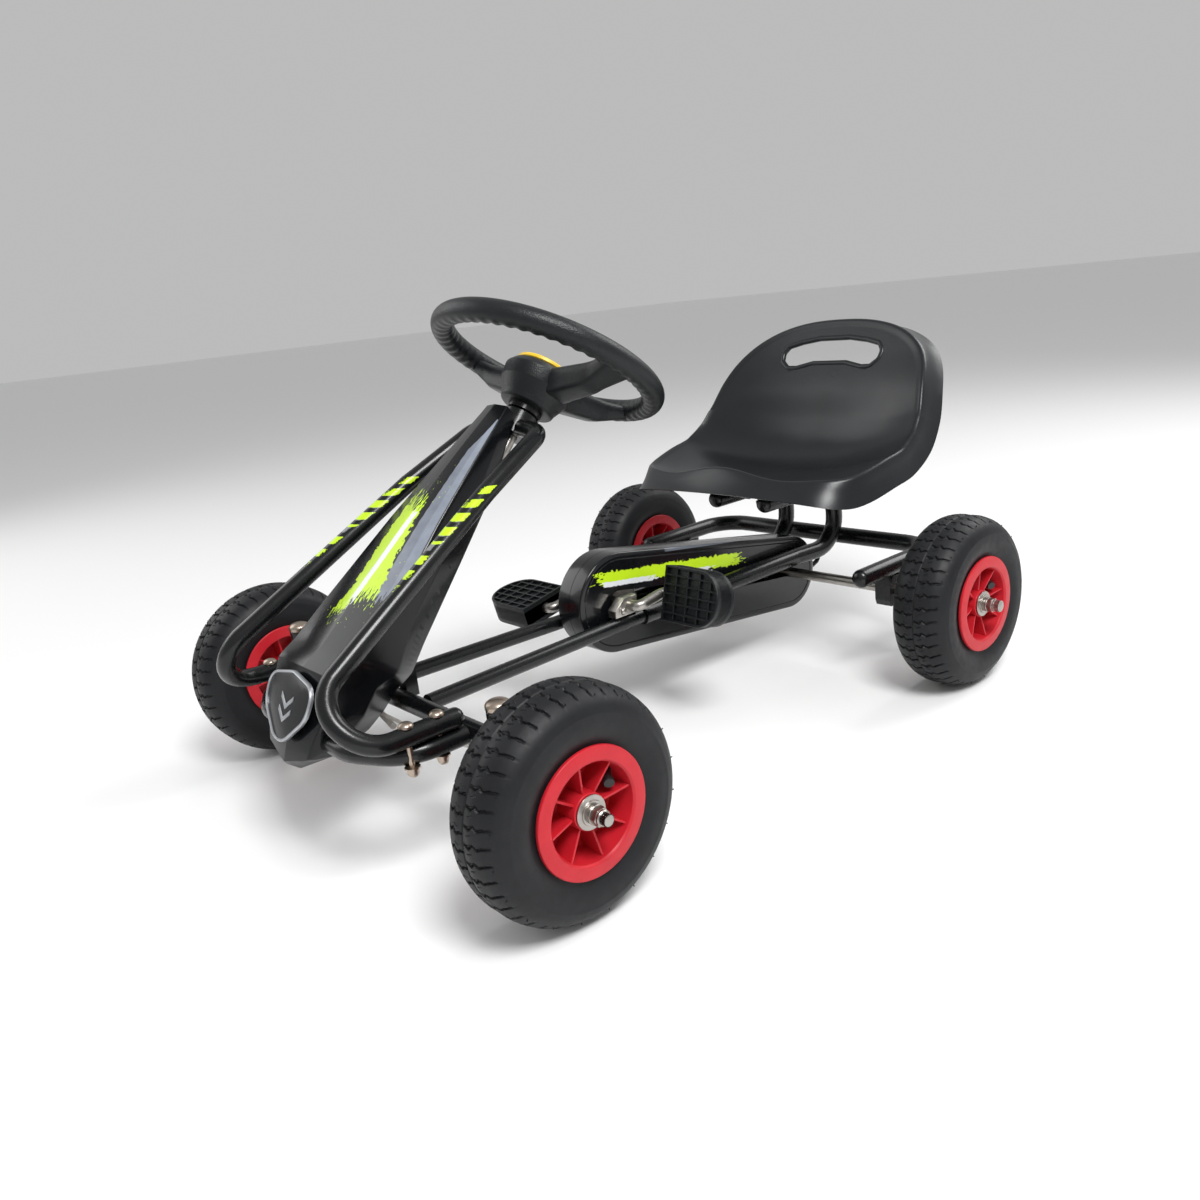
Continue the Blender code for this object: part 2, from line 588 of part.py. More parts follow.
def crank_and_pedals():
    """One bent rod with a pedal block on each pin, carried by two plated brackets."""
    centre = Vector((0.0, CRANK_Y, CRANK_Z))
    arm = Vector((0.0, cos(CRANK_ANGLE), sin(CRANK_ANGLE))) * CRANK_THROW
    points = [Vector((0.1620, 0, 0)) + arm, Vector((0.0585, 0, 0)) + arm, Vector((0.0585, 0, 0))]
    points = points + [-p for p in reversed(points)]
    route = rounded_route([centre + p for p in points], 0.0110, 3)
    crank = swept(route, CRANK_ROD, 12)
    add_object("crank", crank, ZINC, CRANK_AXIS, centre)

    ring = toothed_outline(CRANK_TEETH, CRANK_Y, CRANK_Z)
    wheel = slab(ring, -0.0015, 0.0015, along_x)
    wheel = add_object("chainring", wheel, ZINC, CRANK_AXIS, centre)
    bore(wheel, centre + Vector((-0.01, 0, 0)), centre + Vector((0.01, 0, 0)),
         CRANK_ROD + GAP, CRANK_AXIS, "chainring_hole", 16, centre)

    for side, sign in SIDES:
        pin = centre + arm * sign
        holder = empty(f"pedal_{side}_axis", pin - centre, CRANK_AXIS)
        tilt = radians(PEDAL_TILT[side])
        flat = Vector((0.0, cos(tilt), sin(tilt)))
        thick = Vector((0.0, -sin(tilt), cos(tilt)))
        outline = [(PEDAL_INNER, -PEDAL_HALF), (PEDAL_INNER, PEDAL_HALF)]
        for step in range(9):
            angle = pi / 2 - pi * step / 8
            outline.append((PEDAL_BEND_X + PEDAL_HALF * cos(angle), PEDAL_HALF * sin(angle)))

        def on_pedal(u, v, w):
            return Vector((sign * u, pin.y, pin.z)) + flat * v + thick * w

        pedal = slab(outline, -PEDAL_THICK, PEDAL_THICK, on_pedal)
        pedal = add_object(f"pedal_{side}", pedal, BLACK_PLASTIC, holder, pin)
        start = Vector((sign * 0.060, pin.y, pin.z))
        end = Vector((sign * 0.175, pin.y, pin.z))
        bore(pedal, start, end, CRANK_ROD + 0.0006, holder, f"pedal_bore_{side}", 12, pin)

        low, high = sorted((sign * 0.0290, sign * 0.0440))
        low_z = 0.1400 + FRONT_TUBE + GAP
        bracket = block((low, CRANK_Y - 0.026, low_z), (high, CRANK_Y + 0.012, CRANK_Z + 0.012))
        bracket = add_object(f"crank_bracket_{side}", bracket, ZINC, KART)
        start = Vector((sign * 0.020, CRANK_Y, CRANK_Z))
        end = Vector((sign * 0.050, CRANK_Y, CRANK_Z))
        bore(bracket, start, end, CRANK_ROD + 0.0006, KART, f"bracket_hole_{side}")


def chain_drive():
    """Two case halves, the chain, and the rear axle with its sprocket."""
    for side, sign in SIDES:
        low, high = sorted((sign * GAP, sign * CASE_HALF_WIDTH))
        half = slab(belt_outline(0.0660, 0.0550), low, high, along_x)
        half = add_object(f"chain_case_{side}", half, BLACK_COVER, KART)
        low, high = sorted((sign * -0.010, sign * (CASE_HALF_WIDTH - CASE_WALL)))
        inside = slab(belt_outline(0.0660 - CASE_WALL, 0.0550 - CASE_WALL), low, high, along_x)
        combine(half, tool(f"case_hollow_{side}", inside, KART), "DIFFERENCE")
        for name, y, z, radius in (("crank", CRANK_Y, CRANK_Z, CRANK_ROD + 0.002),
                                   ("axle", REAR_Y, TYRE_RADIUS, REAR_AXLE_RADIUS + 0.002)):
            start = (sign * 0.010, y, z)
            end = (sign * 0.040, y, z)
            bore(half, start, end, radius, KART, f"case_hole_{name}_{side}")

    crank_tip = CHAIN_PITCH / (2 * sin(pi / CRANK_TEETH)) + 0.0022
    axle_tip = CHAIN_PITCH / (2 * sin(pi / SPROCKET_TEETH)) + 0.0022
    band = slab(belt_outline(crank_tip + 0.0066, axle_tip + 0.0066), -0.0040, 0.0040, along_x)
    band = add_object("chain", band, ZINC, KART)
    hollow = slab(belt_outline(crank_tip + 0.0008, axle_tip + 0.0008), -0.010, 0.010, along_x)
    combine(band, tool("chain_hollow", hollow, KART), "DIFFERENCE")

    hub = Vector((0.0, REAR_Y, TYRE_RADIUS))
    tip = REAR_TRACK / 2 + AXLE_TIP
    axle = rod(hub - Vector((tip, 0, 0)), hub + Vector((tip, 0, 0)), REAR_AXLE_RADIUS, 16)
    add_object("rear_axle", axle, ZINC, REAR_AXIS, hub)
    ring = toothed_outline(SPROCKET_TEETH, REAR_Y, TYRE_RADIUS)
    wheel = slab(ring, -0.0015, 0.0015, along_x)
    wheel = add_object("rear_sprocket", wheel, ZINC, REAR_AXIS, hub)
    bore(wheel, hub - Vector((0.01, 0, 0)), hub + Vector((0.01, 0, 0)),
         REAR_AXLE_RADIUS + GAP, REAR_AXIS, "sprocket_hole", 16, hub)


# ---- fairing ------------------------------------------------------------------------
# Each station: middle (y, z), front edge (y, z) and its half width, side ridge (y, z) and its
# half width, rear edge (y, z) and its half width, from the column head down to the chin.
FAIRING = (
    ((-0.1470, 0.4373), (-0.1450, 0.4350), 0.0205, (-0.1420, 0.4310), 0.0210, (-0.1375, 0.4255), 0.0215),
    ((-0.2139, 0.3876), (-0.2100, 0.3830), 0.0350, (-0.1960, 0.3660), 0.0340, (-0.1850, 0.3520), 0.0310),
    ((-0.2827, 0.3337), (-0.2775, 0.3276), 0.0508, (-0.2600, 0.3060), 0.0480, (-0.2440, 0.2860), 0.0400),
    ((-0.3643, 0.2610), (-0.3591, 0.2549), 0.0716, (-0.3350, 0.2350), 0.0660, (-0.3100, 0.2080), 0.0440),
    ((-0.4089, 0.2220), (-0.4050, 0.2174), 0.0750, (-0.3650, 0.1950), 0.0760, (-0.3330, 0.1780), 0.0450),
    ((-0.4325, 0.2070), (-0.4300, 0.2050), 0.0680, (-0.3900, 0.1850), 0.0740, (-0.3560, 0.1650), 0.0460),
    ((-0.4555, 0.1605), (-0.4520, 0.1600), 0.0600, (-0.4080, 0.1600), 0.0700, (-0.3740, 0.1500), 0.0480),
    ((-0.4730, 0.1140), (-0.4660, 0.1260), 0.0460, (-0.4280, 0.1380), 0.0580, (-0.3950, 0.1360), 0.0480),
    ((-0.4600, 0.1010), (-0.4400, 0.1200), 0.0440, (-0.4240, 0.1260), 0.0480, (-0.4100, 0.1290), 0.0440),
)
SHELL = 0.0030
WALL_SIDE = -1.0
BACK_HOLLOW = 0.0110
BUMPER_FRONT = (FRONT_Y - 0.102, BEAM_Z)


def fairing():
    """The front cover that hides the column, its back panel and the nose badge."""
    bm = bmesh.new()
    rows = []
    for centre, front, half_f, side, half_s, rear, half_r in FAIRING:
        places = [(-half_r, *rear), (-half_s, *side), (-half_f, *front), (0.0, *centre)]
        places += [(half_f, *front), (half_s, *side), (half_r, *rear)]
        rows.append([bm.verts.new(p) for p in places])
    for a, b in zip(rows, rows[1:]):
        for j in range(len(a) - 1):
            bm.faces.new((a[j], a[j + 1], b[j + 1], b[j]))
    cover = add_object("nose_fairing", bm, BLACK_COVER, KART)
    wall = cover.modifiers.new("wall", "SOLIDIFY")
    wall.thickness = SHELL
    wall.offset = WALL_SIDE
    wall.use_even_offset = True

    slot = rod((-0.10, *BUMPER_FRONT), (0.10, *BUMPER_FRONT), GUARD_TUBE + 0.001, 12)
    combine(cover, tool("bumper_slot", slot, KART), "DIFFERENCE")

    bm = bmesh.new()
    rows = []
    for *_, rear, half_r in FAIRING[1:-2]:
        half = half_r - SHELL - 0.0030
        hollow = Vector((0.0, *rear)) - Vector((0.0, 0.79, -0.61)) * BACK_HOLLOW
        rows.append([bm.verts.new(p) for p in ((-half, *rear), hollow, (half, *rear))])
    for a, b in zip(rows, rows[1:]):
        for j in range(len(a) - 1):
            bm.faces.new((a[j], a[j + 1], b[j + 1], b[j]))
    back = add_object("fairing_back", bm, BLACK_COVER, KART)
    wall = back.modifiers.new("wall", "SOLIDIFY")
    wall.thickness = 0.0022
    wall.offset = 0.0


BADGE_CENTRE = Vector((0.0, -0.4580, 0.1700))


def badge():
    """The shield on the nose: a rounded plate that leans back with the fairing."""
    up = Vector((0.0, 0.43, 0.90)).normalized()
    out = Vector((0.0, -0.90, 0.43)).normalized()
    outline = []
    corners = ((0.0500, 0.0330, 0.020), (-0.0500, 0.0330, 0.020), (0.0, -0.0440, 0.012))
    count = len(corners)
    for i in range(count):
        x, v, r = corners[i]
        before = Vector(corners[i - 1][:2]) - Vector((x, v))
        after = Vector(corners[(i + 1) % count][:2]) - Vector((x, v))
        for t in (-1.0, -0.4, 0.4, 1.0):
            way = before.normalized() * max(-t, 0.0) + after.normalized() * max(t, 0.0)
            pull = 1.0 - abs(t)
            inward = (before.normalized() + after.normalized()) * 0.35 * pull
            outline.append((x + (way.x + inward.x) * r, v + (way.y + inward.y) * r))

    def on_badge(u, v, w):
        return BADGE_CENTRE + Vector((u, 0, 0)) + up * v + out * w

    add_object("nose_badge", slab(outline, 0.0, 0.0040, on_badge), SILVER, KART)


# ---- seat ---------------------------------------------------------------------------
# Stations from the front lip to the top of the back: centre line (y, z), how far the sides
# rise from it, and the half width.
SEAT_LINE = ((0.2252, 0.2909), (0.2662, 0.2711), (0.3321, 0.2672), (0.3823, 0.2667), (0.4235, 0.2871),
             (0.4485, 0.3241), (0.4649, 0.3699), (0.4918, 0.4195), (0.5148, 0.4658))
SEAT_RISE = (-0.0069, 0.0124, 0.0286, 0.0383, 0.0398, 0.0345, 0.0258, 0.0187, 0.0114)
SEAT_HALF = (0.2253, 0.2141, 0.2045, 0.1997, 0.1981, 0.1969, 0.1987, 0.2072, 0.2143)
LIP_DIP = 0.0122
SKIRT_DEPTH = 0.0380
SKIRT_FLARE = 0.0100
SEAT_SLOT = ((0.000, 0.4085), (0.030, 0.4075), (0.060, 0.4010), (0.077, 0.4010), (0.090, 0.4105),
             (0.092, 0.4230), (0.084, 0.4330), (0.060, 0.4390), (0.028, 0.4435), (0.000, 0.4445))


def through(stations, at):
    """A smooth curve through equally spaced stations: the Catmull-Rom mean of the four nearest."""
    values = np.array(stations)
    place = (at + 1) / 2 * (len(values) - 1)
    first = min(int(place), len(values) - 2)
    t = place - first
    before = values[first - 1] if first > 0 else 2 * values[0] - values[1]
    after = values[first + 2] if first + 2 < len(values) else 2 * values[-1] - values[-2]
    a, b = values[first], values[first + 1]
    return a + 0.5 * t * (b - before + t * (2 * before - 5 * a + 4 * b - after
                                            + t * (3 * (a - b) + after - before)))


def seat_point(a, b):
    """A point of the bucket: a across and b from lip to top, both -1 to 1 on a rounded square."""
    power = 3.3 if b < 0 else 2.45
    reach = max(abs(a), abs(b), 1e-6)
    rounding = reach / (abs(a) ** power + abs(b) ** power + 1e-9) ** (1 / power)
    u, v = a * rounding, b * rounding
    centre = through(SEAT_LINE, v)
    ahead = through(SEAT_LINE, min(v + 0.05, 1.0)) - through(SEAT_LINE, max(v - 0.05, -1.0))
    inward = Vector((0.0, -ahead[1], ahead[0])).normalized()
    lift = through(SEAT_RISE, v) * abs(u) ** 2.4
    dip = LIP_DIP * sin(pi * min(1.1 * abs(u), 1.0)) ** 2 * max(0.0, (-v - 0.4) / 0.6) ** 2
    spot = Vector((u * through(SEAT_HALF, v), centre[0], centre[1])) + inward * lift
    return spot, Vector((0.0, 0.0, -dip)), inward


def seat():
    """One moulded bucket: pan and back in a single curved sheet with a deep turned-down edge."""
    across, up_rows = 11, 13
    bm = bmesh.new()
    rows = []
    under = {}
    for i in range(up_rows):
        row = []
        for j in range(across):
            spot, dip, inward = seat_point(2 * j / (across - 1) - 1, 2 * i / (up_rows - 1) - 1)
            vert = bm.verts.new(spot + dip)
            under[vert] = (spot, inward)
            row.append(vert)
        rows.append(row)
    for a, b in zip(rows, rows[1:]):
        for j in range(across - 1):
            bm.faces.new((a[j], a[j + 1], b[j + 1], b[j]))

    edge = rows[0] + [r[-1] for r in rows[1:]] + rows[-1][-2::-1] + [r[0] for r in rows[-2:0:-1]]
    middle = Vector((0.0, 0.37, 0.35))
    skirt = []
    for vert in edge:
        spot, inward = under[vert]
        out = spot - middle
        out = (out - inward * out.dot(inward)).normalized()
        skirt.append(bm.verts.new(spot - inward * SKIRT_DEPTH + out * SKIRT_FLARE))
    count = len(edge)
    for i in range(count):
        k = (i + 1) % count
        bm.faces.new((edge[i], skirt[i], skirt[k], edge[k]))
    centre = Vector((0.0, 0.33, RAIL_Z))
    shell = add_object("seat_shell", bm, SEAT_PLASTIC, SEAT_SLIDE, centre)
    wall = shell.modifiers.new("wall", "SOLIDIFY")
    wall.thickness = 0.0045
    wall.offset = 0.0
    wall.use_even_offset = True
    slot = [*SEAT_SLOT, *[(-x, z) for x, z in SEAT_SLOT[-2:0:-1]]]
    cutter = slab(slot, 0.42, 0.60, lambda u, v, w: Vector((u, w, v)))
    combine(shell, tool("seat_handle_slot", cutter, SEAT_SLIDE, centre), "DIFFERENCE")

    top = RAIL_Z + REAR_TUBE + GAP
    plate = block((-0.0600, 0.2950, 0.2584), (0.0600, 0.3750, 0.2622))
    plate = add_object("seat_bracket", plate, BLACK_PAINT, SEAT_SLIDE, centre)
    for number, x in enumerate((-RAIL_X, RAIL_X), 1):
        foot = block((x - 0.012, 0.2950, top), (x + 0.012, 0.3750, 0.2600))
        combine(plate, tool(f"bracket_foot_{number}", foot, SEAT_SLIDE, centre), "UNION")
    for number, x in enumerate((-0.020, 0.020), 1):
        ear = block((x - 0.003, 0.3000, RAIL_Z - 0.006), (x + 0.003, 0.3700, 0.2600))
        combine(plate, tool(f"bracket_ear_{number}", ear, SEAT_SLIDE, centre), "UNION")
    bolt = [(0.0030, 0.2200), (0.0060, 0.2210), (0.0070, 0.2290), (0.0030, 0.2310), (0.0030, 0.2584 - GAP)]
    bolt = turned(bolt, (0.0, 0.3050, 0.0), (0, 0, 1), 10)
    add_object("seat_clamp_bolt", bolt, ZINC, SEAT_SLIDE, centre)


front_frame()
guard_tubes()
main_tubes()
bearing_brackets()
steering_column()
steering_wheel()
front_axles()
wheels()
crank_and_pedals()
chain_drive()
fairing()
badge()
seat()
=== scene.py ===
"""The looks of a child's pedal go kart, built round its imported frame.

Metres, +Z up; the kart faces -Y and the driver's left is +X.  Places are given from the middle
of the wheelbase on the ground, which is found from the wheels.
"""
from math import asin, atan2, cos, hypot, pi, radians, sin

import bmesh
import bpy
import numpy as np
from mathutils import Matrix, Vector


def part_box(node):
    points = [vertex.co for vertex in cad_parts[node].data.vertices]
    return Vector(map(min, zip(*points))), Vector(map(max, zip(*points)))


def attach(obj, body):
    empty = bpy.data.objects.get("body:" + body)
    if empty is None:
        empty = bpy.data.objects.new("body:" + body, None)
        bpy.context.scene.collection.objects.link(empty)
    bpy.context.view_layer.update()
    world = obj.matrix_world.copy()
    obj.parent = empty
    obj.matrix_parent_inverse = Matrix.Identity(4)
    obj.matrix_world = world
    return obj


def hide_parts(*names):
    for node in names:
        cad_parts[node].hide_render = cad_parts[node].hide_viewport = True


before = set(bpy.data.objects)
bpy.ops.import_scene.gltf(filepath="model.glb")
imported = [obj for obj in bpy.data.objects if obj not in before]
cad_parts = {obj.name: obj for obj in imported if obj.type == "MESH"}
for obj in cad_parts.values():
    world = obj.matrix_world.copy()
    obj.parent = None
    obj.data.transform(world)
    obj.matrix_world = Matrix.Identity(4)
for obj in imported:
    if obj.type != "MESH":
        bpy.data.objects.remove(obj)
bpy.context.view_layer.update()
SIDES = (("left", 1.0), ("right", -1.0))


# ---- main tubes -------------------------------------------------------------------------
# Round steel tube, bent and welded, then powder coated gloss black.  The thin front pair runs
# from the beam to the thick rear pair, which turns up into the seat rails.
def box_middle(node):
    """The middle of a node's box, as an array."""
    low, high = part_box(node)
    return np.array((low + high) / 2)


front_hub, rear_hub = box_middle("rim_front_left"), box_middle("rim_rear_left")
ROW = np.array((0.0, (front_hub[1] + rear_hub[1]) / 2, 0.0))
FRONT_Y = front_hub[1] - ROW[1]
REAR_Y = rear_hub[1] - ROW[1]
AXLE_Z = front_hub[2]
_, BEAM_Y, BEAM_Z = box_middle("front_beam") - ROW
GAP = 0.0004  # clearance between parts that meet


class Shade:
    """A number or vector that varies over a surface; arithmetic on it adds Math nodes."""

    def __init__(self, tree, socket):
        self.tree = tree
        self.socket = socket

    def node(self, kind, inputs, output=0, **settings):
        """Add one node, fill the named or numbered inputs, and give back one of its outputs."""
        made = self.tree.nodes.new(kind)
        for key, value in settings.items():
            setattr(made, key, value)
        for key, value in inputs.items():
            if isinstance(value, Shade):
                self.tree.links.new(value.socket, made.inputs[key])
            else:
                made.inputs[key].default_value = value
        return Shade(self.tree, made.outputs[output])

    def math(self, operation, *values):
        return self.node("ShaderNodeMath", dict(enumerate(values)), operation=operation)

    def __add__(self, other):
        return self.math("ADD", self, other)

    def __sub__(self, other):
        return self.math("SUBTRACT", self, other)

    def __rsub__(self, other):
        return self.math("SUBTRACT", other, self)

    def __mul__(self, other):
        return self.math("MULTIPLY", self, other)

    def __truediv__(self, other):
        return self.math("DIVIDE", self, other)

    def __abs__(self):
        return self.math("ABSOLUTE", self)

    __radd__ = __add__
    __rmul__ = __mul__

    def clamp(self):
        """Held between 0 and 1."""
        return self.math("MINIMUM", self.math("MAXIMUM", self, 0.0), 1.0)

    def above(self, level, soft):
        """0 below the level, 1 above it, with a ramp of the given length between."""
        return ((self - level) / soft + 0.5).clamp()

    def within(self, low, high, soft):
        """1 between two levels, 0 outside."""
        return self.above(low, soft) * (1.0 - self.above(high, soft))

    def wave(self, period):
        """How far along each period the value is, from 0 to 1."""
        return self.math("FLOORED_MODULO", self, period) / period

    def part(self, axis):
        """One coordinate of a vector."""
        return self.node("ShaderNodeSeparateXYZ", {0: self}, output=axis)

    def noise(self, scale, detail=2.0, stretch=(1.0, 1.0, 1.0)):
        """Smooth random values, about 0.5, with features of 1/scale metres."""
        place = self.node("ShaderNodeVectorMath", {0: self, 1: stretch}, operation="MULTIPLY")
        return self.node("ShaderNodeTexNoise", {"Vector": place, "Scale": scale, "Detail": detail})

    def cells(self, scale):
        """Distance to the nearest of scattered points, for a pebble grain."""
        return self.node("ShaderNodeTexVoronoi", {"Vector": self, "Scale": scale})

    def tint(self, dark, light):
        """The dark colour where this value is 0 and the light one where it is 1, or a mix."""
        return self.node("ShaderNodeMix", {0: self, 6: dark, 7: light}, output=2, data_type="RGBA")

    def bump(self, height, strength=1.0):
        """A normal bent by this height in metres times the given scale."""
        return self.node("ShaderNodeBump", {"Strength": strength, "Distance": height, "Height": self},
                         output="Normal")


def material(name, colour, roughness, metallic=0.0, coat=0.0, shine=0.5):
    """A Principled material, its shader, and the place on the surface as a Shade."""
    made = bpy.data.materials.new(name)
    made.use_nodes = True
    tree = made.node_tree
    shader = tree.nodes["Principled BSDF"]
    constants = {"Base Color": (*colour, 1.0), "Roughness": roughness, "Metallic": metallic,
                 "Coat Weight": coat, "Coat Roughness": 0.08, "Specular IOR Level": shine}
    for socket, value in constants.items():
        shader.inputs[socket].default_value = value
    place = Shade(tree, tree.nodes.new("ShaderNodeTexCoord").outputs["Object"])
    return made, shader, place


def feed(shader, **values):
    """Link shades to the shader's sockets; an underscore stands for a space."""
    for name, value in values.items():
        value.tree.links.new(value.socket, shader.inputs[name.replace("_", " ")])


def mottled(name, dark, light, cloud, gloss, grain=None, **constants):
    """A material that drifts between two tones, with uneven gloss and perhaps a fine relief.

    cloud is a noise scale and detail.  gloss adds to those how far the roughness varies and its
    lowest value, and grain adds the relief's height and strength.
    """
    made, shader, place = material(name, light, gloss[-1], **constants)
    feed(shader, Base_Color=place.noise(*cloud).tint((*dark, 1.0), (*light, 1.0)))
    feed(shader, Roughness=place.noise(*gloss[:2]) * gloss[2] + gloss[3])
    if grain:
        feed(shader, Normal=place.noise(*grain[:2]).bump(*grain[2:]))
    return made


def piece(name, parts, looks, body, slot, *nodes, crease=35.0):
    """One object from parts of (points[row, ring, xyz], closed, look number).

    Neighbouring rings are joined by quads; a closed part joins its last ring to its first and an
    open one gets a flat cap at each end.
    """
    points, corners, sizes, numbers = [], [], [], []
    start = 0
    for grid, closed, look in parts:
        rows, ring = grid.shape[:2]
        index = start + np.arange(rows * ring).reshape(rows, ring)
        first = index if closed else index[:-1]
        second = np.roll(index, -1, 0)[:len(first)]
        quads = np.stack([first, np.roll(first, -1, 1), np.roll(second, -1, 1), second], -1)
        corners.append(quads.ravel())
        sizes.append(np.full(first.size, 4))
        if not closed:
            corners += [index[0, ::-1], index[-1]]
            sizes.append(np.array((ring, ring)))
        numbers.append(np.full(first.size + (0 if closed else 2), look))
        points.append(grid.reshape(-1, 3) + ROW)
        start += rows * ring
    corners, sizes = np.concatenate(corners), np.concatenate(sizes)
    mesh = bpy.data.meshes.new(name)
    mesh.vertices.add(start)
    mesh.vertices.foreach_set("co", np.concatenate(points).astype(np.float32).ravel())
    mesh.loops.add(len(corners))
    mesh.loops.foreach_set("vertex_index", corners.astype(np.int32))
    mesh.polygons.add(len(sizes))
    mesh.polygons.foreach_set("loop_start", (np.cumsum(sizes) - sizes).astype(np.int32))
    mesh.polygons.foreach_set("material_index", np.concatenate(numbers).astype(np.int32))
    mesh.update(calc_edges=True)
    bm = bmesh.new()
    bm.from_mesh(mesh)
    bmesh.ops.recalc_face_normals(bm, faces=bm.faces)
    bm.to_mesh(mesh)
    bm.free()
    for look in looks:
        mesh.materials.append(look)
    mesh.shade_smooth()
    mesh.set_sharp_from_angle(angle=radians(crease))
    made = bpy.data.objects.new(name, mesh)
    bpy.context.collection.objects.link(made)
    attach(made, body)
    if nodes:
        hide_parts(*nodes)
    return made


def unit(vectors):
    """Vectors scaled to length 1."""
    vectors = np.asarray(vectors, float)
    return vectors / np.linalg.norm(vectors, axis=-1, keepdims=True)


def square_to(axis):
    """Two unit vectors square to an axis."""
    axis = unit(axis)
    first = np.array((0.0, 1.0, 0.0)) if abs(axis[0]) > 0.9 else np.array((1.0, 0.0, 0.0))
    first = unit(first - axis * (first @ axis))
    return first, np.cross(axis, first)


def rounded_path(points, bend, steps=8):
    """A polyline with each inner corner turned into a circular arc of the given radius.

    The arc is the even blend, by angle, of the two spokes from its centre to where it touches.
    """
    points = [np.array(p, float) for p in points]
    path = [points[0]]
    for before, corner, after in zip(points, points[1:], points[2:]):
        back, ahead = before - corner, after - corner
        limit = 0.49 * min(np.linalg.norm(back), np.linalg.norm(ahead))
        back, ahead = unit(back), unit(ahead)
        half = np.arccos(np.clip(back @ ahead, -1.0, 1.0)) / 2
        if half > radians(89.0):
            path.append(corner)
            continue
        reach = min(bend / np.tan(half), limit)
        centre = corner + unit(back + ahead) * (reach * np.tan(half) / sin(half))
        spokes = corner + back * reach - centre, corner + ahead * reach - centre
        whole = pi - 2 * half
        t = np.linspace(0.0, 1.0, steps + 1)[:, None] * whole
        path.extend(centre + (spokes[0] * np.sin(whole - t) + spokes[1] * np.sin(t)) / sin(whole))
    path.append(points[-1])
    return np.array(path)


def rounded_ring(points, bend, steps=5):
    """A closed outline with every corner rounded."""
    return rounded_path([points[-1], *points, points[0]], bend, steps)[1:-1]


def tube(path, radius, around=28, sizes=None):
    """A circle carried along a path; each ring's first spoke is the last one's, kept square."""
    path = np.asarray(path, float)
    ways = unit(np.gradient(path, axis=0))
    side = square_to(ways[0])[0]
    spokes = []
    for way in ways:
        side = unit(side - way * (side @ way))
        spokes.append(side)
    spokes = np.array(spokes)
    ups = np.cross(ways, spokes)
    angle = np.linspace(0.0, 2 * pi, around, endpoint=False)[None, :, None]
    reach = radius if sizes is None else radius * np.asarray(sizes)[:, None, None]
    ring = spokes[:, None] * np.cos(angle) + ups[:, None] * np.sin(angle)
    return path[:, None] + ring * reach


def capped(path, radius, both=False):
    """A tube with a domed plug on its last end, or on both: rings shrink by a quarter circle."""
    path = np.asarray(path, float)
    angle = np.linspace(0.0, radians(80.0), 7)[1:, None]
    rise = np.sin(angle) * radius * 0.8
    head = path[0] + unit(path[0] - path[1]) * rise
    tail = path[-1] + unit(path[-1] - path[-2]) * rise
    sizes = np.append(np.ones(len(path)), np.cos(angle))
    path = np.vstack([path, tail])
    if both:
        path = np.vstack([head[::-1], path])
        sizes = np.append(np.cos(angle)[::-1], sizes)
    return tube(path, radius, sizes=sizes)


def mirrored(points, sign):
    """Points with x multiplied by the side's sign."""
    return [(sign * x, y, z) for x, y, z in points]


def powder_coat(name):
    """Gloss black powder coat: faint orange peel under a clear shine."""
    made, shader, place = material(name, (0.004, 0.0045, 0.005), 0.30, coat=0.15, shine=0.35)
    feed(shader, Roughness=place.noise(60.0) * 0.14 + 0.20)
    feed(shader, Normal=place.noise(700.0, 1.0).bump(0.00012, 0.5))
    return made, shader, place


PAINT = powder_coat("gloss_black_powder_coat")[0]


def painted(name, grid, *nodes, closed=False):
    """One powder-coated piece of the frame."""
    piece(name, [(grid, closed, 0)], [PAINT], "frame", "black_paint", *nodes)


REAR_TUBE, FRONT_TUBE = 0.0125, 0.0095
TUBE_Z, RAIL_X = 0.1400, 0.0365
RAIL_Z, SEAT_RAIL_X, RAIL_BEND_Y = 0.2370, 0.0460, 0.4200
for side, sign in SIDES:
    ends = mirrored([(0.0520, BEAM_Y + 0.0109, TUBE_Z), (RAIL_X, 0.0138, TUBE_Z)], sign)
    painted(f"front_main_tube_{side}", tube(np.linspace(*ends, 5), FRONT_TUBE), f"front_tube_{side}")
    corners = [(RAIL_X, 0.0150, TUBE_Z), (RAIL_X, 0.3300, TUBE_Z), (SEAT_RAIL_X, RAIL_BEND_Y, TUBE_Z),
               (SEAT_RAIL_X, RAIL_BEND_Y, RAIL_Z), (SEAT_RAIL_X, 0.2600, RAIL_Z)]
    rail = capped(rounded_path(mirrored(corners, sign), 0.045), REAR_TUBE)
    painted(f"seat_rail_tube_{side}", rail, f"seat_rail_{side}")


# ---- front beam, bumper and rear loop -----------------------------------------------------
# The straight beam carries the king pins, the bumper loop is welded in front of it, and the
# rear loop runs round the back of the axle with a plastic plug in each end.
GUARD_TUBE = 0.0105  # the beam, the bumper and the guards are of one size
LEG_X = 0.1560
beam_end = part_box("front_beam")[1].x
beam = np.linspace((-beam_end, BEAM_Y, BEAM_Z), (beam_end, BEAM_Y, BEAM_Z), 7)
painted("straight_front_beam", tube(beam, GUARD_TUBE), "front_beam")

half_loop = [(LEG_X, BEAM_Y - GUARD_TUBE - GAP, BEAM_Z), (LEG_X, FRONT_Y - 0.070, BEAM_Z),
             (LEG_X - 0.062, FRONT_Y - 0.102, BEAM_Z)]
loop = half_loop + mirrored(half_loop, -1.0)[::-1]
painted("bumper_loop", tube(rounded_path(loop, 0.06, 12), GUARD_TUBE), "bumper_tube")

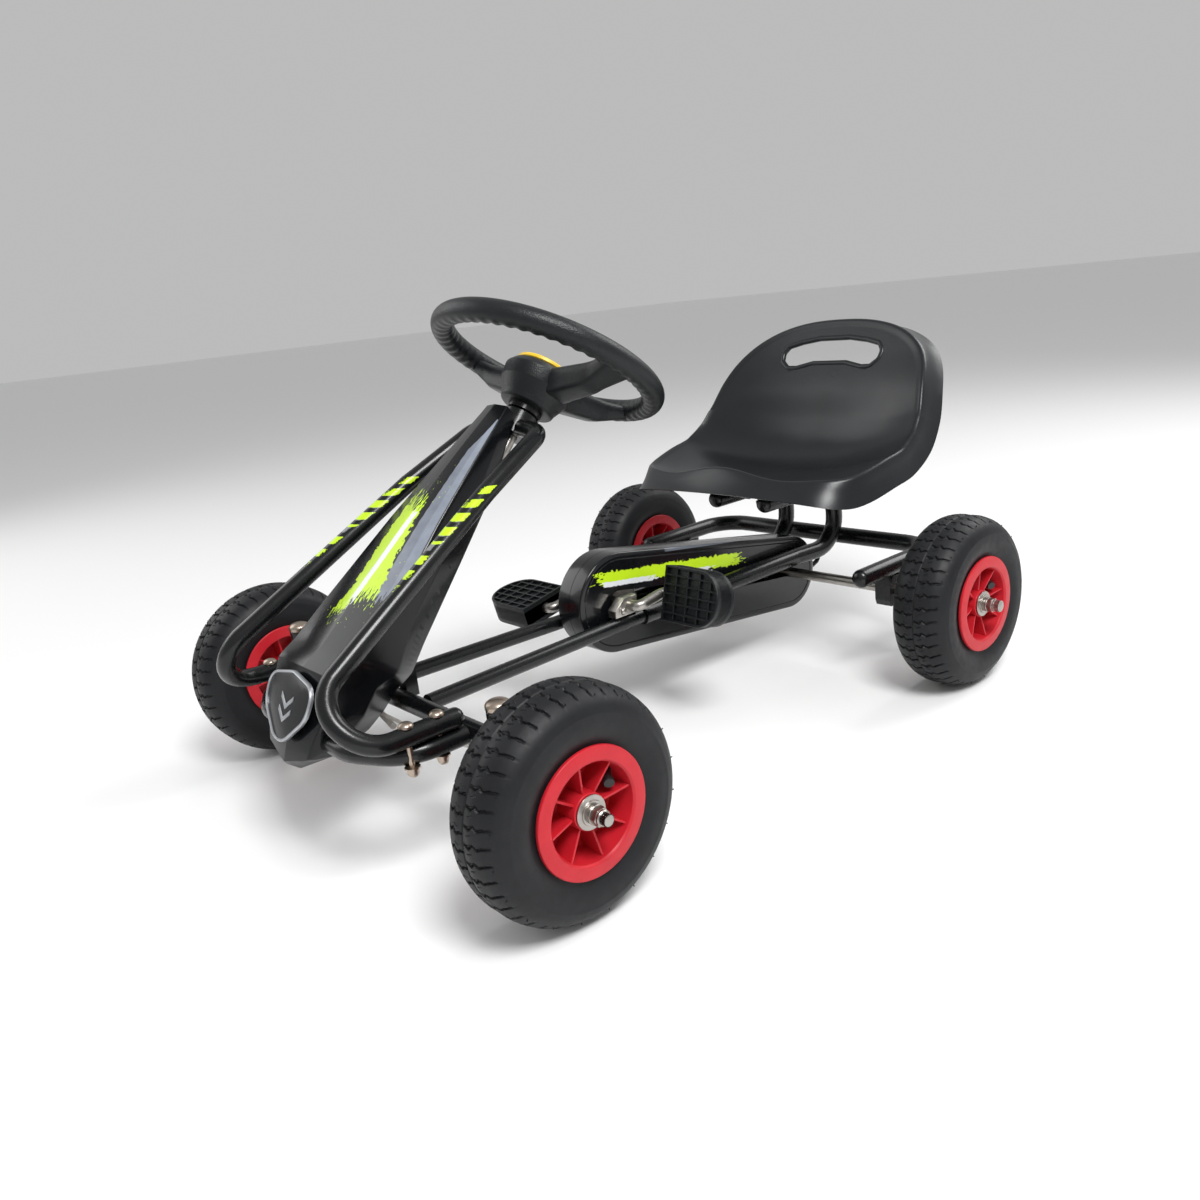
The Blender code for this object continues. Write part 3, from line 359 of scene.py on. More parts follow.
LOOP_X, LOOP_Z = 0.2030, 0.1480
half_loop = [(LOOP_X, 0.2620, LOOP_Z), (LOOP_X, 0.4460, LOOP_Z)]
loop = mirrored(half_loop, -1.0) + half_loop[::-1]
painted("rear_frame_loop", capped(rounded_path(loop, 0.050, 12), REAR_TUBE, True), "rear_loop")

stay = [(0.0120, 0.4280, 0.1330), (0.0120, 0.4180, 0.1100), (0.0120, 0.4000, 0.1040)]
painted("thin_case_stay", tube(rounded_path(stay, 0.010), 0.0035, 16), "case_stay")


# ---- guard tubes --------------------------------------------------------------------------
# Two bent tubes from the column head, out beside the nose cover and back to the bumper, where
# two bolts clamp each.  Two groups of short lime dashes are printed along the outer face.
GUARD_LOW_Z = BEAM_Z + 2 * GUARD_TUBE + GAP
LIME = (0.500, 0.740, 0.018, 1.0)
WHITE = (0.700, 0.720, 0.740, 1.0)


def guard_coat():
    """Powder coat with printed dashes: short level bars in two groups, ragged at their edges.

    The print lies on the strip of the tube that faces up and forward, between two distances
    from the tube's axis line, and a thin grey line runs on through the gaps.
    """
    made, shader, place = powder_coat("guard_tube_coat_with_dashes")
    y, z = place.part(1) - float(ROW[1]), place.part(2)
    ragged = (place.noise(330.0, 3.0) - 0.5) * 0.0045
    # lift is the height over the tube's axis, which rises by slope for each metre back, and
    # level runs down along the axis, so that bars at even levels lean against it.
    slope, pitch = 0.5167, 0.0225
    lift = z - (0.3555 + (y + 0.2304) * slope)
    level = y * -0.888 - z * 0.459 - lift * 1.3
    strip = (lift + ragged).within(0.0022, 0.0096, 0.0008)
    bars = (level + ragged * 0.5).wave(pitch).within(0.16, 0.76, 0.05)
    groups = z.within(0.3200, 0.3640, 0.0006) + z.within(0.2640, 0.3120, 0.0006)
    lime = (bars * groups * strip).clamp()
    line = (lift + ragged * 0.4).within(0.0048, 0.0070, 0.0006) * z.within(0.2500, 0.3560, 0.0010)
    line = line * (level + 0.003).wave(pitch).within(0.30, 0.95, 0.05)
    base = (line * 0.8).tint((0.004, 0.0045, 0.005, 1.0), (0.24, 0.25, 0.26, 1.0))
    feed(shader, Base_Color=lime.tint(base, LIME))
    return made


GUARD_COAT = guard_coat()
for side, sign in SIDES:
    corners = mirrored([(0.0225, -0.1290, 0.4073), (0.0640, -0.1370, 0.4035), (0.0801, -0.2304, 0.3555),
                        (0.1022, -0.3924, 0.2718), (0.1162, -0.4761, 0.2045),
                        (LEG_X, -0.4530, GUARD_LOW_Z), (LEG_X, BEAM_Y - 0.019, GUARD_LOW_Z)], sign)
    upper = rounded_path(corners[:4], 0.0175, 10)
    lower = rounded_path(corners[3:], 0.042, 10)
    parts = [(capped(np.vstack([upper[:-1], lower[1:]]), GUARD_TUBE), False, 0)]
    piece(f"bent_guard_tube_{side}", parts, [GUARD_COAT], "frame", "black_paint", f"guard_tube_{side}")


# ---- bolts, pins and turned steel ---------------------------------------------------------
# Zinc-plated fasteners and the plated steering shaft: domed heads on top of the guard tubes,
# cap nuts below the bumper, and a broad dome on each king pin.
def lathe(profile, centre, axis, around=40):
    """Spin (radius, along) points round an axis: rows follow the profile, rings go round."""
    profile = np.asarray(profile, float)
    first, second = square_to(axis)
    angle = np.linspace(0.0, 2 * pi, around, endpoint=False)[None, :, None]
    ring = first * np.cos(angle) + second * np.sin(angle)
    along = np.asarray(centre, float) + unit(axis) * profile[:, 1, None]
    return along[:, None] + ring * profile[:, 0, None, None]


def dome(radius, low, height, steps=8):
    """A quarter ellipse of a lathe profile, from its rim to near its top."""
    angle = np.linspace(0.0, radians(86.0), steps)
    return [(radius * cos(a), low + height * sin(a)) for a in angle]


ZINC = mottled("zinc_plating", (0.3024, 0.2880, 0.2664), (0.4956, 0.4720, 0.4366), (90.0, 4.0),
               (400.0, 3.0, 0.22, 0.22), (1500.0, 2.0, 0.00006, 0.6), metallic=1.0)
COPPERY = mottled("yellowed_zinc_plating", (0.3312, 0.2736, 0.2232), (0.5428, 0.4484, 0.3658),
                  (90.0, 4.0), (400.0, 3.0, 0.22, 0.22), (1500.0, 2.0, 0.00006, 0.6), metallic=1.0)
GUARD_BOLT_Y = (FRONT_Y - 0.068, FRONT_Y - 0.0335)
KING_PIN_X = 0.2160
UP = (0.0, 0.0, 1.0)
for side, sign in SIDES:
    for number, along in enumerate(GUARD_BOLT_Y, 1):
        place = (sign * LEG_X, along, 0.0)
        top = GUARD_LOW_Z + GUARD_TUBE
        head = [(0.0070, top - 0.0012), (0.0078, top + 0.0002), *dome(0.0078, top + 0.0004, 0.0046)]
        foot = BEAM_Z - GUARD_TUBE
        nut = [(0.0080, foot + 0.0006), (0.0080, foot - 0.0012), (0.0062, foot - 0.0014)]
        nut += [(r, 2 * (foot - 0.0050) - a) for r, a in dome(0.0060, foot - 0.0050, 0.0058)]
        shank = [(0.0030, foot - 0.0030), (0.0030, top + 0.0010)]
        parts = [(lathe(head, place, UP), False, 0), (lathe(nut, place, UP), False, 0),
                 (lathe(shank, place, UP, 12), False, 0)]
        piece(f"guard_clamp_bolt_{side}_{number}", parts, [COPPERY], "frame", "zinc",
              f"guard_bolt_{side}_{number}")
    place = (sign * KING_PIN_X, FRONT_Y, 0.0)
    cap = [(0.0122, 0.1803), (0.0130, 0.1812), (0.0130, 0.1840), *dome(0.0130, 0.1842, 0.0068, 12)]
    piece(f"king_pin_dome_{side}", [(lathe(cap, place, UP, 48), False, 0)], [COPPERY], "frame", "zinc",
          f"kingpin_cap_{side}")
    sleeve = [(0.0119, 0.1280), (0.0125, 0.1288), (0.0125, 0.1792), (0.0119, 0.1800), (0.0070, 0.1800),
              (0.0070, 0.1280)]
    painted(f"king_pin_sleeve_tube_{side}", lathe(sleeve, place, UP), f"kingpin_sleeve_{side}", closed=True)


COLUMN_TILT = radians(41.5)
COLUMN_TOP = np.array((0.0, -0.0631, 0.4723))
COLUMN_AXIS = np.array((0.0, sin(COLUMN_TILT), cos(COLUMN_TILT)))


def column_point(height):
    """The point of the steering column's axis at a height above the ground."""
    return COLUMN_TOP - COLUMN_AXIS * (COLUMN_TOP[2] - height) / cos(COLUMN_TILT)


shaft = np.linspace(column_point(0.1350), column_point(0.4370), 9)
piece("plated_steering_shaft", [(tube(shaft, 0.0065, 24), False, 0)], [ZINC], "steering", "zinc",
      "steering_shaft")
collar = [(0.0195, -0.0150), (0.0205, -0.0140), (0.0205, 0.0138), (0.0193, 0.0150), (0.0072, 0.0150),
          (0.0072, -0.0150)]
collar = lathe(collar, column_point(0.4080), COLUMN_AXIS, 48)
painted("column_head_collar", collar, "column_head", closed=True)
skirt = [(0.0180, -0.0700), (0.0212, -0.0695), (0.0212, -0.0600), (0.0190, -0.0592), (0.0072, -0.0592),
         (0.0072, -0.0700)]
painted("steering_neck_bush", lathe(skirt, COLUMN_TOP, COLUMN_AXIS, 48), closed=True)


# ---- tyres --------------------------------------------------------------------------------
# Air tyres of black rubber: two broad ribs cut across by stepped grooves, a fine line round
# the middle, plain sidewalls with a mould line, and small moulding nubs.
def through(points, steps):
    """A smooth curve through points: the Catmull-Rom mean of the four nearest, steps per gap."""
    points = np.asarray(points, float)
    ends = np.vstack([2 * points[0] - points[1], points, 2 * points[-1] - points[-2]])
    t = np.linspace(0.0, 1.0, steps, endpoint=False)[None, :, None]
    p0, p1, p2, p3 = (ends[i:len(ends) - 3 + i, None] for i in range(4))
    curve = p1 + 0.5 * t * (p2 - p0 + t * (2 * p0 - 5 * p1 + 4 * p2 - p3
                                           + t * (3 * (p1 - p2) + p3 - p0)))
    return np.vstack([curve.reshape(-1, points.shape[1]), points[-1:]])


MOULD_LINE = 0.0905  # its radius
GROOVE = 0.0026


def tyre_surface(centre, turn, blocks=42, around=1008):
    """A tyre as rings of the section, closed on itself.

    The section is a smooth curve through its half, mirrored, with a plain lining.  The tread is
    lowered along a centre line and along cross grooves whose phase steps with the distance from
    the centre line, and the sidewall is raised along one mould line.
    """
    crown = through([(0.1119, 0.0), (0.1125, 0.0100), (0.1104, 0.0200), (0.1075, 0.0262),
                     (0.1030, 0.0322), (0.0960, 0.0370), (0.0870, 0.0389), (0.0780, 0.0388),
                     (0.0700, 0.0365), (0.0640, 0.0338), (0.0600, 0.0334), (0.0540, 0.0334)], 7)
    # Every ring of the tread and of the mould line is kept, and every third one elsewhere.
    rank = np.arange(len(crown))
    crown = crown[(rank < 22) | (rank % 3 == 2) | (np.abs(crown[:, 0] - MOULD_LINE) < 0.0016)]
    lining = np.array([(0.0530, 0.0320), (0.0530, 0.0270), (0.0880, 0.0320), (0.1050, 0.0100)])
    half = np.vstack([crown, lining])
    section = np.vstack([half[::-1], half[1:] * (1, -1)])
    radius, along = section.T
    angle = np.linspace(0.0, 2 * pi, around, endpoint=False)[:, None]
    rank = np.arange(len(section))
    outer = (rank >= len(lining)) & (rank < len(section) - len(lining))
    reach = np.abs(along)[None, :]
    tread = outer * np.clip((radius - 0.1035) / 0.0030, 0.0, 1.0)
    step = np.interp(reach, (0.0, 0.004, 0.009, 0.013, 0.018, 0.023, 0.032),
                     (0.0, 0.03, -0.12, 0.16, -0.04, 0.10, 0.16))
    stagger = np.where(along > 0, 0.0, 0.5)[None, :]
    phase = (angle * blocks / (2 * pi) + step + stagger) % 1.0
    cross = np.clip((1.6 - np.abs(phase - 0.5) * 707.0 / blocks) / 0.6, 0.0, 1.0)
    fade = np.interp(reach, (0.0, 0.0015, 0.0030, 0.024, 0.031), (0.0, 0.6, 1.0, 1.0, 0.55))
    middle = np.clip(1.4 - reach / 0.0008, 0.0, 1.0)
    small = (angle * blocks / pi + 0.37 + stagger + reach * 40) % 1.0
    sipe = np.clip(1.2 - np.abs(small - 0.5) * 14, 0.0, 1.0) * (reach > 0.006) * (reach < 0.0115)
    depth = tread * np.maximum.reduce([cross * fade * GROOVE, middle * 0.0012 + 0 * phase, sipe * 0.0010])
    line = outer * 0.0005 * np.exp(-((radius - MOULD_LINE) / 0.0007) ** 2)
    push = radius[None, :] - depth
    sideways = along[None, :] + np.sign(along)[None, :] * line[None, :]
    spin = angle + turn
    x = centre[0] + sideways + 0 * push
    return np.stack([x, centre[1] + push * np.cos(spin), centre[2] + push * np.sin(spin)], -1)


RUBBER = mottled("tyre_rubber", (0.003, 0.003, 0.004), (0.010, 0.011, 0.013), (35.0, 4.0),
                 (120.0, 3.0, 0.22, 0.40), (1100.0, 3.0, 0.00020, 0.5), shine=0.30)
# Each wheel's name, side, middle, own body, the body that holds its nut, and its axle's radius.
WHEELS = [(label, outward, np.array((outward * half_track, along, AXLE_Z)), body, holder, rod)
          for label, outward, half_track, along, body, holder, rod in (
              ("front_left", 1.0, 0.306, FRONT_Y, "wheel_front_left", "knuckle_left", 0.0060),
              ("front_right", -1.0, 0.306, FRONT_Y, "wheel_front_right", "knuckle_right", 0.0060),
              ("rear_left", 1.0, 0.300, REAR_Y, "rear_axle", "rear_axle", 0.0075),
              ("rear_right", -1.0, 0.300, REAR_Y, "wheel_rear_right", "rear_axle", 0.0075))]
NUB_RING, NUB_OUT, NUB_RADIUS = 0.1035, 0.0300, 0.0006
for number, (label, outward, hub, body, _, _) in enumerate(WHEELS):
    parts = [(tyre_surface(hub, 0.7 * number), True, 0)]
    for turn in np.linspace(0.0, 2 * pi, 20, endpoint=False) + 0.1:
        out = np.array((outward * 0.0010, cos(turn), sin(turn)))
        base = hub + out * NUB_RING + (outward * NUB_OUT, 0, 0)
        nub = np.linspace(base - out * 0.002, base + out * 0.0032, 3)
        parts.append((tube(nub, NUB_RADIUS, 6), False, 0))
    piece(f"air_tyre_{label}", parts, [RUBBER], body, "rubber", f"tyre_{label}", crease=28.0)


# ---- red wheels ---------------------------------------------------------------------------
# One-piece red nylon wheels: a broad rounded flange, a dish stiffened by eight thin ribs, and a
# hub boss that holds the bearing.  The tyre's black valve stands in one bay.
def right_of(outline):
    """Unit vectors square to a closed outline, on the right of its run."""
    ahead = unit(np.roll(outline, -1, 0) - np.roll(outline, 1, 0))
    return np.stack([ahead[:, 1], -ahead[:, 0]], -1)


def slab(outline, low, high, place, edge=0.0006, steps=3):
    """An outline given thickness, its edges rounded: rings that move in by a quarter circle."""
    outline = np.asarray(outline, float)
    out = right_of(outline)
    area = np.sum(outline[:, 0] * np.roll(outline[:, 1], -1) - np.roll(outline[:, 0], -1) * outline[:, 1])
    out = out if area > 0 else -out
    angle = np.linspace(0.0, pi / 2, steps + 1)
    inset, rise = edge * (1 - np.sin(angle)), edge * (1 - np.cos(angle))
    inset = np.concatenate([inset, inset[::-1]])
    depth = np.concatenate([low + rise, high - rise[::-1]])
    flat = outline[None] - out[None] * inset[:, None, None]
    return place(flat[..., 0:1], flat[..., 1:2], np.broadcast_to(depth[:, None, None], flat[..., :1].shape))


def rib_surface(centre, angle, outward, inner, outer, low, high_in, high_out, half=0.0011):
    """A thin radial rib: a flat plate from the hub to the flange whose top edge slopes."""
    way = np.array((0.0, cos(angle), sin(angle)))
    side = np.array((0.0, -sin(angle), cos(angle)))
    out = np.array((outward, 0.0, 0.0))
    outline = [(inner, low), (outer, low), (outer, high_out), (inner, high_in)]
    return slab(outline, -half, half, lambda u, v, w: centre + way * u + out * v + side * w, 0.0004, 1)


RED = mottled("red_nylon", (0.42, 0.009, 0.018), (0.56, 0.016, 0.026), (40.0, 3.0),
              (90.0, 2.0, 0.15, 0.34), (900.0, 2.0, 0.00010, 0.4), shine=0.35)
VALVE_RUBBER = material("valve_rubber", (0.012, 0.012, 0.013), 0.45)[0]
FLANGE = 0.0625
RIBS, FIRST_RIB = 8, 0.16
SIDEWAYS = (1.0, 0.0, 0.0)
for label, outward, hub, body, _, _ in WHEELS:
    section = [(0.0083, -0.0300), (0.0180, -0.0300), (0.0180, -0.0060), (0.0450, -0.0060),
               (0.0468, -0.0340), (0.0480, -0.0370), (0.0618, -0.0370), (FLANGE, -0.0345),
               (0.0525, -0.0336), (0.0500, 0.0), (0.0525, 0.0336), (FLANGE, 0.0345),
               (0.0620, 0.0385), (0.0490, 0.0392), (0.0470, 0.0372), (0.0445, 0.0080),
               (0.0180, 0.0080), (0.0176, 0.0325), (0.0083, 0.0330)]
    parts = [(lathe(rounded_ring(section, 0.0012, 4) * (1, outward), hub, SIDEWAYS, 96), True, 0)]
    for rib in range(RIBS):
        turn = 2 * pi * rib / RIBS + FIRST_RIB
        parts.append((rib_surface(hub, turn, outward, 0.0172, 0.0478, 0.0075, 0.0290, 0.0345), False, 0))
        parts.append((rib_surface(hub, turn, -outward, 0.0172, 0.0478, 0.0055, 0.0270, 0.0320), False, 0))
    piece(f"red_wheel_{label}", parts, [RED], body, "red_plastic", f"rim_{label}", crease=30.0)

    turn = pi / RIBS + FIRST_RIB
    way = np.array((0.0, cos(turn), sin(turn)))
    out = np.array((outward, 0.0, 0.0))
    foot, tip = hub + way * 0.0440 + out * 0.0120, hub + way * 0.0310 + out * 0.0310
    sizes = np.interp(np.arange(12), (0, 2, 4, 8, 9, 11), (1.25, 1.2, 0.95, 0.90, 1.05, 1.0))
    stem = tube(np.linspace(foot, tip, 12), 0.0050, 20, sizes)
    piece(f"valve_stem_{label}", [(stem, False, 0)], [VALVE_RUBBER], body, "rubber")


# ---- axle ends ----------------------------------------------------------------------------
# Each wheel is held by a washer, a spacer sleeve and a self-locking nut, all zinc plated, on the
# threaded end of its axle.
NUT, THREAD_PITCH = 0.0094, 0.0010
for label, outward, hub, _, body, rod in WHEELS:
    bore = rod + GAP

    def out_along(points):
        """Lathe points facing outward from the wheel."""
        return [(r, a * outward) for r, a in points]

    def on_hub(u, v, w):
        """Outline in the wheel's plane, depth along the axle."""
        return hub + np.concatenate([w, u, v], -1)

    washer = rounded_ring([(bore, 0.0336), (0.0165, 0.0336), (0.0165, 0.0350), (0.0118, 0.0352),
                           (0.0118, 0.0370), (bore, 0.0370)], 0.0005, 3)
    sleeve = [(bore, 0.0365), (0.0092, 0.0365), (0.0095, 0.0370), (0.0095, 0.0418), (0.0092, 0.0422),
              (bore, 0.0422)]
    hexagon = rounded_ring([(NUT * cos(a), NUT * sin(a)) for a in np.arange(6) * pi / 3], 0.0012, 3)
    low, high = sorted((outward * 0.0420, outward * 0.0492))
    crimp = [(0.0040, 0.0485), (0.0080, 0.0485), (0.0078, 0.0510), (0.0068, 0.0522), (0.0040, 0.0522)]
    along = np.linspace(0.0500, 0.0578, 50)
    thread = [(0.0056 + 0.0003 * cos(2 * pi * a / THREAD_PITCH), a) for a in along] + [(0.0044, 0.0584)]
    parts = [(lathe(out_along(washer), hub, SIDEWAYS, 48), True, 0),
             (lathe(out_along(sleeve), hub, SIDEWAYS, 40), True, 0),
             (slab(hexagon, low, high, on_hub, 0.0007), False, 0),
             (lathe(out_along(crimp), hub, SIDEWAYS, 36), True, 0),
             (lathe(out_along(thread), hub, SIDEWAYS, 28), False, 0)]
    piece(f"axle_end_nut_{label}", parts, [ZINC], body, "zinc", f"axle_nut_{label}")


# ---- nose cover ---------------------------------------------------------------------------
# A blow-moulded gloss black cover in flat facets that hides the column: a face that widens
# downward between two ridges, side walls, and a chin under the bumper.  A lime brush splash, a
# pale stripe and a grey tapering panel are printed on it.
STATIONS = (
    ((-0.1470, 0.4373), (-0.1450, 0.4350), 0.0205, (-0.1420, 0.4310), 0.0210, (-0.1375, 0.4255), 0.0215),
    ((-0.2139, 0.3876), (-0.2100, 0.3830), 0.0350, (-0.1960, 0.3660), 0.0340, (-0.1850, 0.3520), 0.0310),
    ((-0.2827, 0.3337), (-0.2775, 0.3276), 0.0508, (-0.2600, 0.3060), 0.0480, (-0.2440, 0.2860), 0.0400),
    ((-0.3643, 0.2610), (-0.3591, 0.2549), 0.0716, (-0.3350, 0.2350), 0.0660, (-0.3100, 0.2080), 0.0440),
    ((-0.4089, 0.2220), (-0.4050, 0.2174), 0.0750, (-0.3650, 0.1950), 0.0760, (-0.3330, 0.1780), 0.0450),
    ((-0.4325, 0.2070), (-0.4300, 0.2050), 0.0680, (-0.3900, 0.1850), 0.0740, (-0.3560, 0.1650), 0.0460),
    ((-0.4555, 0.1605), (-0.4520, 0.1600), 0.0600, (-0.4080, 0.1600), 0.0700, (-0.3740, 0.1500), 0.0480),
    ((-0.4730, 0.1140), (-0.4660, 0.1260), 0.0460, (-0.4280, 0.1380), 0.0580, (-0.3950, 0.1360), 0.0480),
    ((-0.4600, 0.1010), (-0.4400, 0.1200), 0.0440, (-0.4240, 0.1260), 0.0480, (-0.4100, 0.1290), 0.0440),
)


COVER_BLACK = (0.004, 0.0045, 0.0055)


def cover_surface(stations, wall=0.0026, bend=0.0045):
    """The cover as closed rings: across the outside with rounded ridges, back along the inside.

    Each ring lies at one step down the cover: the stations' corners are blended along a smooth
    curve, the ridges are turned into arcs, and the inside is the outside moved in by the wall.
    With each point comes its place across: whole numbers at the seven corners, 0 in the middle.
    """
    corners = []
    for centre, front, half_f, ridge, half_s, rear, half_r in stations:
        corners.append([(-half_r, *rear), (-half_s, *ridge), (-half_f, *front), (0.0, *centre),
                        (half_f, *front), (half_s, *ridge), (half_r, *rear)])
    corners = np.array(corners)
    count = len(corners)
    smooth = through(corners.reshape(count, -1), 7).reshape(-1, 7, 3)
    straight = np.stack([np.interp(np.linspace(0, count - 1, len(smooth)), np.arange(count), column)
                         for column in corners.reshape(count, -1).T], -1).reshape(-1, 7, 3)
    rows = 0.75 * straight + 0.25 * smooth
    inner = np.array((0.0, 0.060, -0.075))
    rings, shares = [], []
    for row in rows:
        outside = rounded_path(row, bend, 6)
        corner = np.append(0.0, np.cumsum(np.linalg.norm(np.diff(row, axis=0), axis=1)))
        along = np.append(0.0, np.cumsum(np.linalg.norm(np.diff(outside, axis=0), axis=1)))
        share = np.interp(along * corner[-1] / along[-1], corner, np.arange(-3.0, 4.0))
        shares.append(np.concatenate([share, np.full(len(share), 3.0)]))
        middle = row.mean(0) + inner
        inside = outside + unit(middle - outside) * wall
        rings.append(np.vstack([outside, inside[::-1]]))
    return np.array(rings), np.array(shares)


def printed_cover():
    """Gloss black plastic printed with a splash, a stripe and a tapering panel.

    The print is laid out by how far across the face a point is, from -1 at the right ridge to 1
    at the left one, and by its height.  Brush streaks come from noise stretched down the face.
    The grey panel is drawn darker inward of 0.7 across, towards the middle: painted shade.
    """
    made, shader, place = material("printed_gloss_cover", COVER_BLACK, 0.16, coat=0.08, shine=0.28)
    across = place.node("ShaderNodeAttribute", {}, output="Fac", attribute_name="across")
    z = place.part(2)
    rough = (place.noise(170.0, 4.0) - 0.5) * 0.9
    brush = (place.noise(520.0, 3.0, (1.0, 0.16, 0.16)) - 0.5) * 0.075
    past = z - 0.3950
    point = past.math("MAXIMUM", past, 0.0) * 18.0
    panel = (across - point).above(0.42, 0.02) * (1.0 - across.above(0.97, 0.02))
    panel = panel * (z + brush * 0.4).within(0.2640, 0.4240, 0.001)
    # Painted shade: the grey panel is drawn about a fifth darker inward of 0.7 across, as where the face
    # creases.
    crease = across.above(0.70, 0.04) * 0.22 + 0.78
    shade = (place.noise(55.0, 3.0) * 0.5 + 0.60) * crease
    colour = (panel * shade.clamp()).tint((*COVER_BLACK, 1.0), (0.270, 0.300, 0.360, 1.0))
    # The splash leans towards the left ridge lower down and tears into streaks at both ends.
    lean = (0.3400 - z) * 3.2
    splash = (0.40 - abs(across + 0.16 - lean) + rough * 0.34).above(0.0, 0.02)
    splash = splash * (z + brush).within(0.2660, 0.3480, 0.0008)
    colour = splash.tint(colour, LIME)
    tail = (0.16 - abs(across + 0.22 + (0.2600 - z) * 4.0) + rough * 0.30).above(0.0, 0.02)
    tail = tail * (z + brush * 0.8).within(0.2470, 0.2700, 0.0008)
    colour = tail.tint(colour, LIME)
    stripe = (0.075 - abs(across - 0.02 + (0.2900 - z) * 2.0) + rough * 0.05).above(0.0, 0.02)
    stripe = stripe * (z + brush * 0.5).within(0.2600, 0.3400, 0.0008)
    colour = stripe.tint(colour, WHITE)
    dots = (1.0 - place.cells(230.0).above(0.15, 0.03)) * place.noise(60.0).above(0.60, 0.02)
    dots = dots * (0.7 - abs(across)).above(0.0, 0.01) * z.within(0.2350, 0.3800, 0.002)
    feed(shader, Base_Color=dots.tint(colour, LIME), Roughness=place.noise(30.0, 2.0) * 0.10 + 0.17)
    feed(shader, Normal=place.noise(140.0, 1.0).bump(0.00025, 0.25))
    return made


COVER = printed_cover()
cover_rings, cover_shares = cover_surface(STATIONS)
cover = piece("printed_nose_cover", [(cover_rings, False, 0)], [COVER], "frame", "black_cover",
              "nose_fairing", crease=24.0)
attribute = cover.data.attributes.new("across", "FLOAT", "POINT")
attribute.data.foreach_set("value", cover_shares.astype(np.float32).ravel())
PLAIN_COVER, plain, place = material("gloss_black_cover", COVER_BLACK, 0.20, coat=0.2, shine=0.35)
feed(plain, Roughness=place.noise(30.0, 2.0) * 0.12 + 0.15)
feed(plain, Normal=place.noise(160.0, 1.0).bump(0.00025, 0.25))


# ---- nose shield --------------------------------------------------------------------------
# A moulded shield clipped to the nose: a bevelled metallic frame round a gloss black field
# that carries two plain metallic chevrons.
SHIELD = np.array((0.0, -0.4580, 0.1700))
SHIELD_UP = unit((0.0, 0.43, 0.90))
SHIELD_OUT = unit((0.0, -0.90, 0.43))


def on_shield(u, v, w):
    """A point of the shield from its own across, up and out."""
    return SHIELD + np.array(SIDEWAYS) * u + SHIELD_UP * v + SHIELD_OUT * w


def stepped(outline, inward, steps, place):
    """Rings of an outline, each moved in by a distance and set at a height."""
    rings = [(outline + inward * inset, height) for inset, height in steps]
    return np.array([place(ring[:, 0:1], ring[:, 1:2], height) for ring, height in rings])


SILVER = mottled("metallic_shield_paint", (0.34, 0.35, 0.37), (0.52, 0.54, 0.56), (80.0, 3.0),
                 (500.0, 2.0, 0.2, 0.22), metallic=0.85)
shield = rounded_ring([(0.0520, 0.0300), (0.0, 0.0400), (-0.0520, 0.0300), (-0.0490, -0.0040),
                       (0.0, -0.0450), (0.0490, -0.0040)], 0.030, 8)
inward = -right_of(shield)
border = ((0.0, -0.001), (0.0, 0.0016), (0.0010, 0.0030), (0.0022, 0.0032), (0.0032, 0.0020),
          (0.0032, -0.001))
field = shield + inward * 0.0030
parts = [(stepped(shield, inward, border, on_shield), True, 0),
         (slab(field, -0.001, 0.0014, on_shield, 0.0004), False, 1)]
ARROW_X, ARROW_RISE, ARROW_BAR = 0.0135, 0.0110, 0.0055
for low in (-0.016, -0.002):
    high = low + ARROW_RISE
    chevron = [(-ARROW_X, high), (0.0, low), (ARROW_X, high), (ARROW_X, high + ARROW_BAR),
               (0.0, low + ARROW_BAR), (-ARROW_X, high + ARROW_BAR)]
    parts.append((slab(chevron, 0.0010, 0.0024, on_shield, 0.0004, 2), False, 0))
piece("nose_shield", parts, [SILVER, PLAIN_COVER], "frame", "silver", "nose_badge")


# ---- chain case ---------------------------------------------------------------------------
# Two moulded halves in gloss black that meet on the middle line, with a raised border, a splash
# printed on the side and a grey stripe along the top edge.
CRANK_Y, CRANK_Z = -0.0100, 0.1620
CASE_HALF = 0.0228


def belt(radius_front, radius_rear, steps=40):
    """The outline of a belt round the crank circle and the rear-axle circle, in Y and Z."""
    run_y, run_z = REAR_Y - CRANK_Y, AXLE_Z - CRANK_Z
    lean = atan2(run_z, run_y)
    spread = pi / 2 + asin((radius_rear - radius_front) / hypot(run_y, run_z))
    front = np.linspace(lean + spread, lean + 2 * pi - spread, steps)
    rear = np.linspace(lean - spread, lean + spread, steps)
    y = np.concatenate([CRANK_Y + radius_front * np.cos(front), REAR_Y + radius_rear * np.cos(rear)])
    z = np.concatenate([CRANK_Z + radius_front * np.sin(front), AXLE_Z + radius_rear * np.sin(rear)])
    return np.stack([y, z], -1)


def case_surface(sign):
    """A half case: belt outlines that move in and outward along x over its rounded edge."""
    panel, lining = CASE_HALF - 0.0007, CASE_HALF - 0.0040
    section = rounded_path([(0.0, GAP), (0.0, CASE_HALF - 0.0008), (0.0052, CASE_HALF),
                            (0.0085, CASE_HALF), (0.0095, panel), (0.0300, panel), (0.0500, panel)],
                           0.0024, 5)
    inside = [(0.0500, lining), (0.0030, lining), (0.0026, GAP)]
    rows = []
    for inset, along in [*section, *inside]:
        ring = belt(0.0660 - inset, 0.0550 - inset)
        rows.append(np.column_stack([np.full(len(ring), sign * along), ring]))
    return np.array(rows)


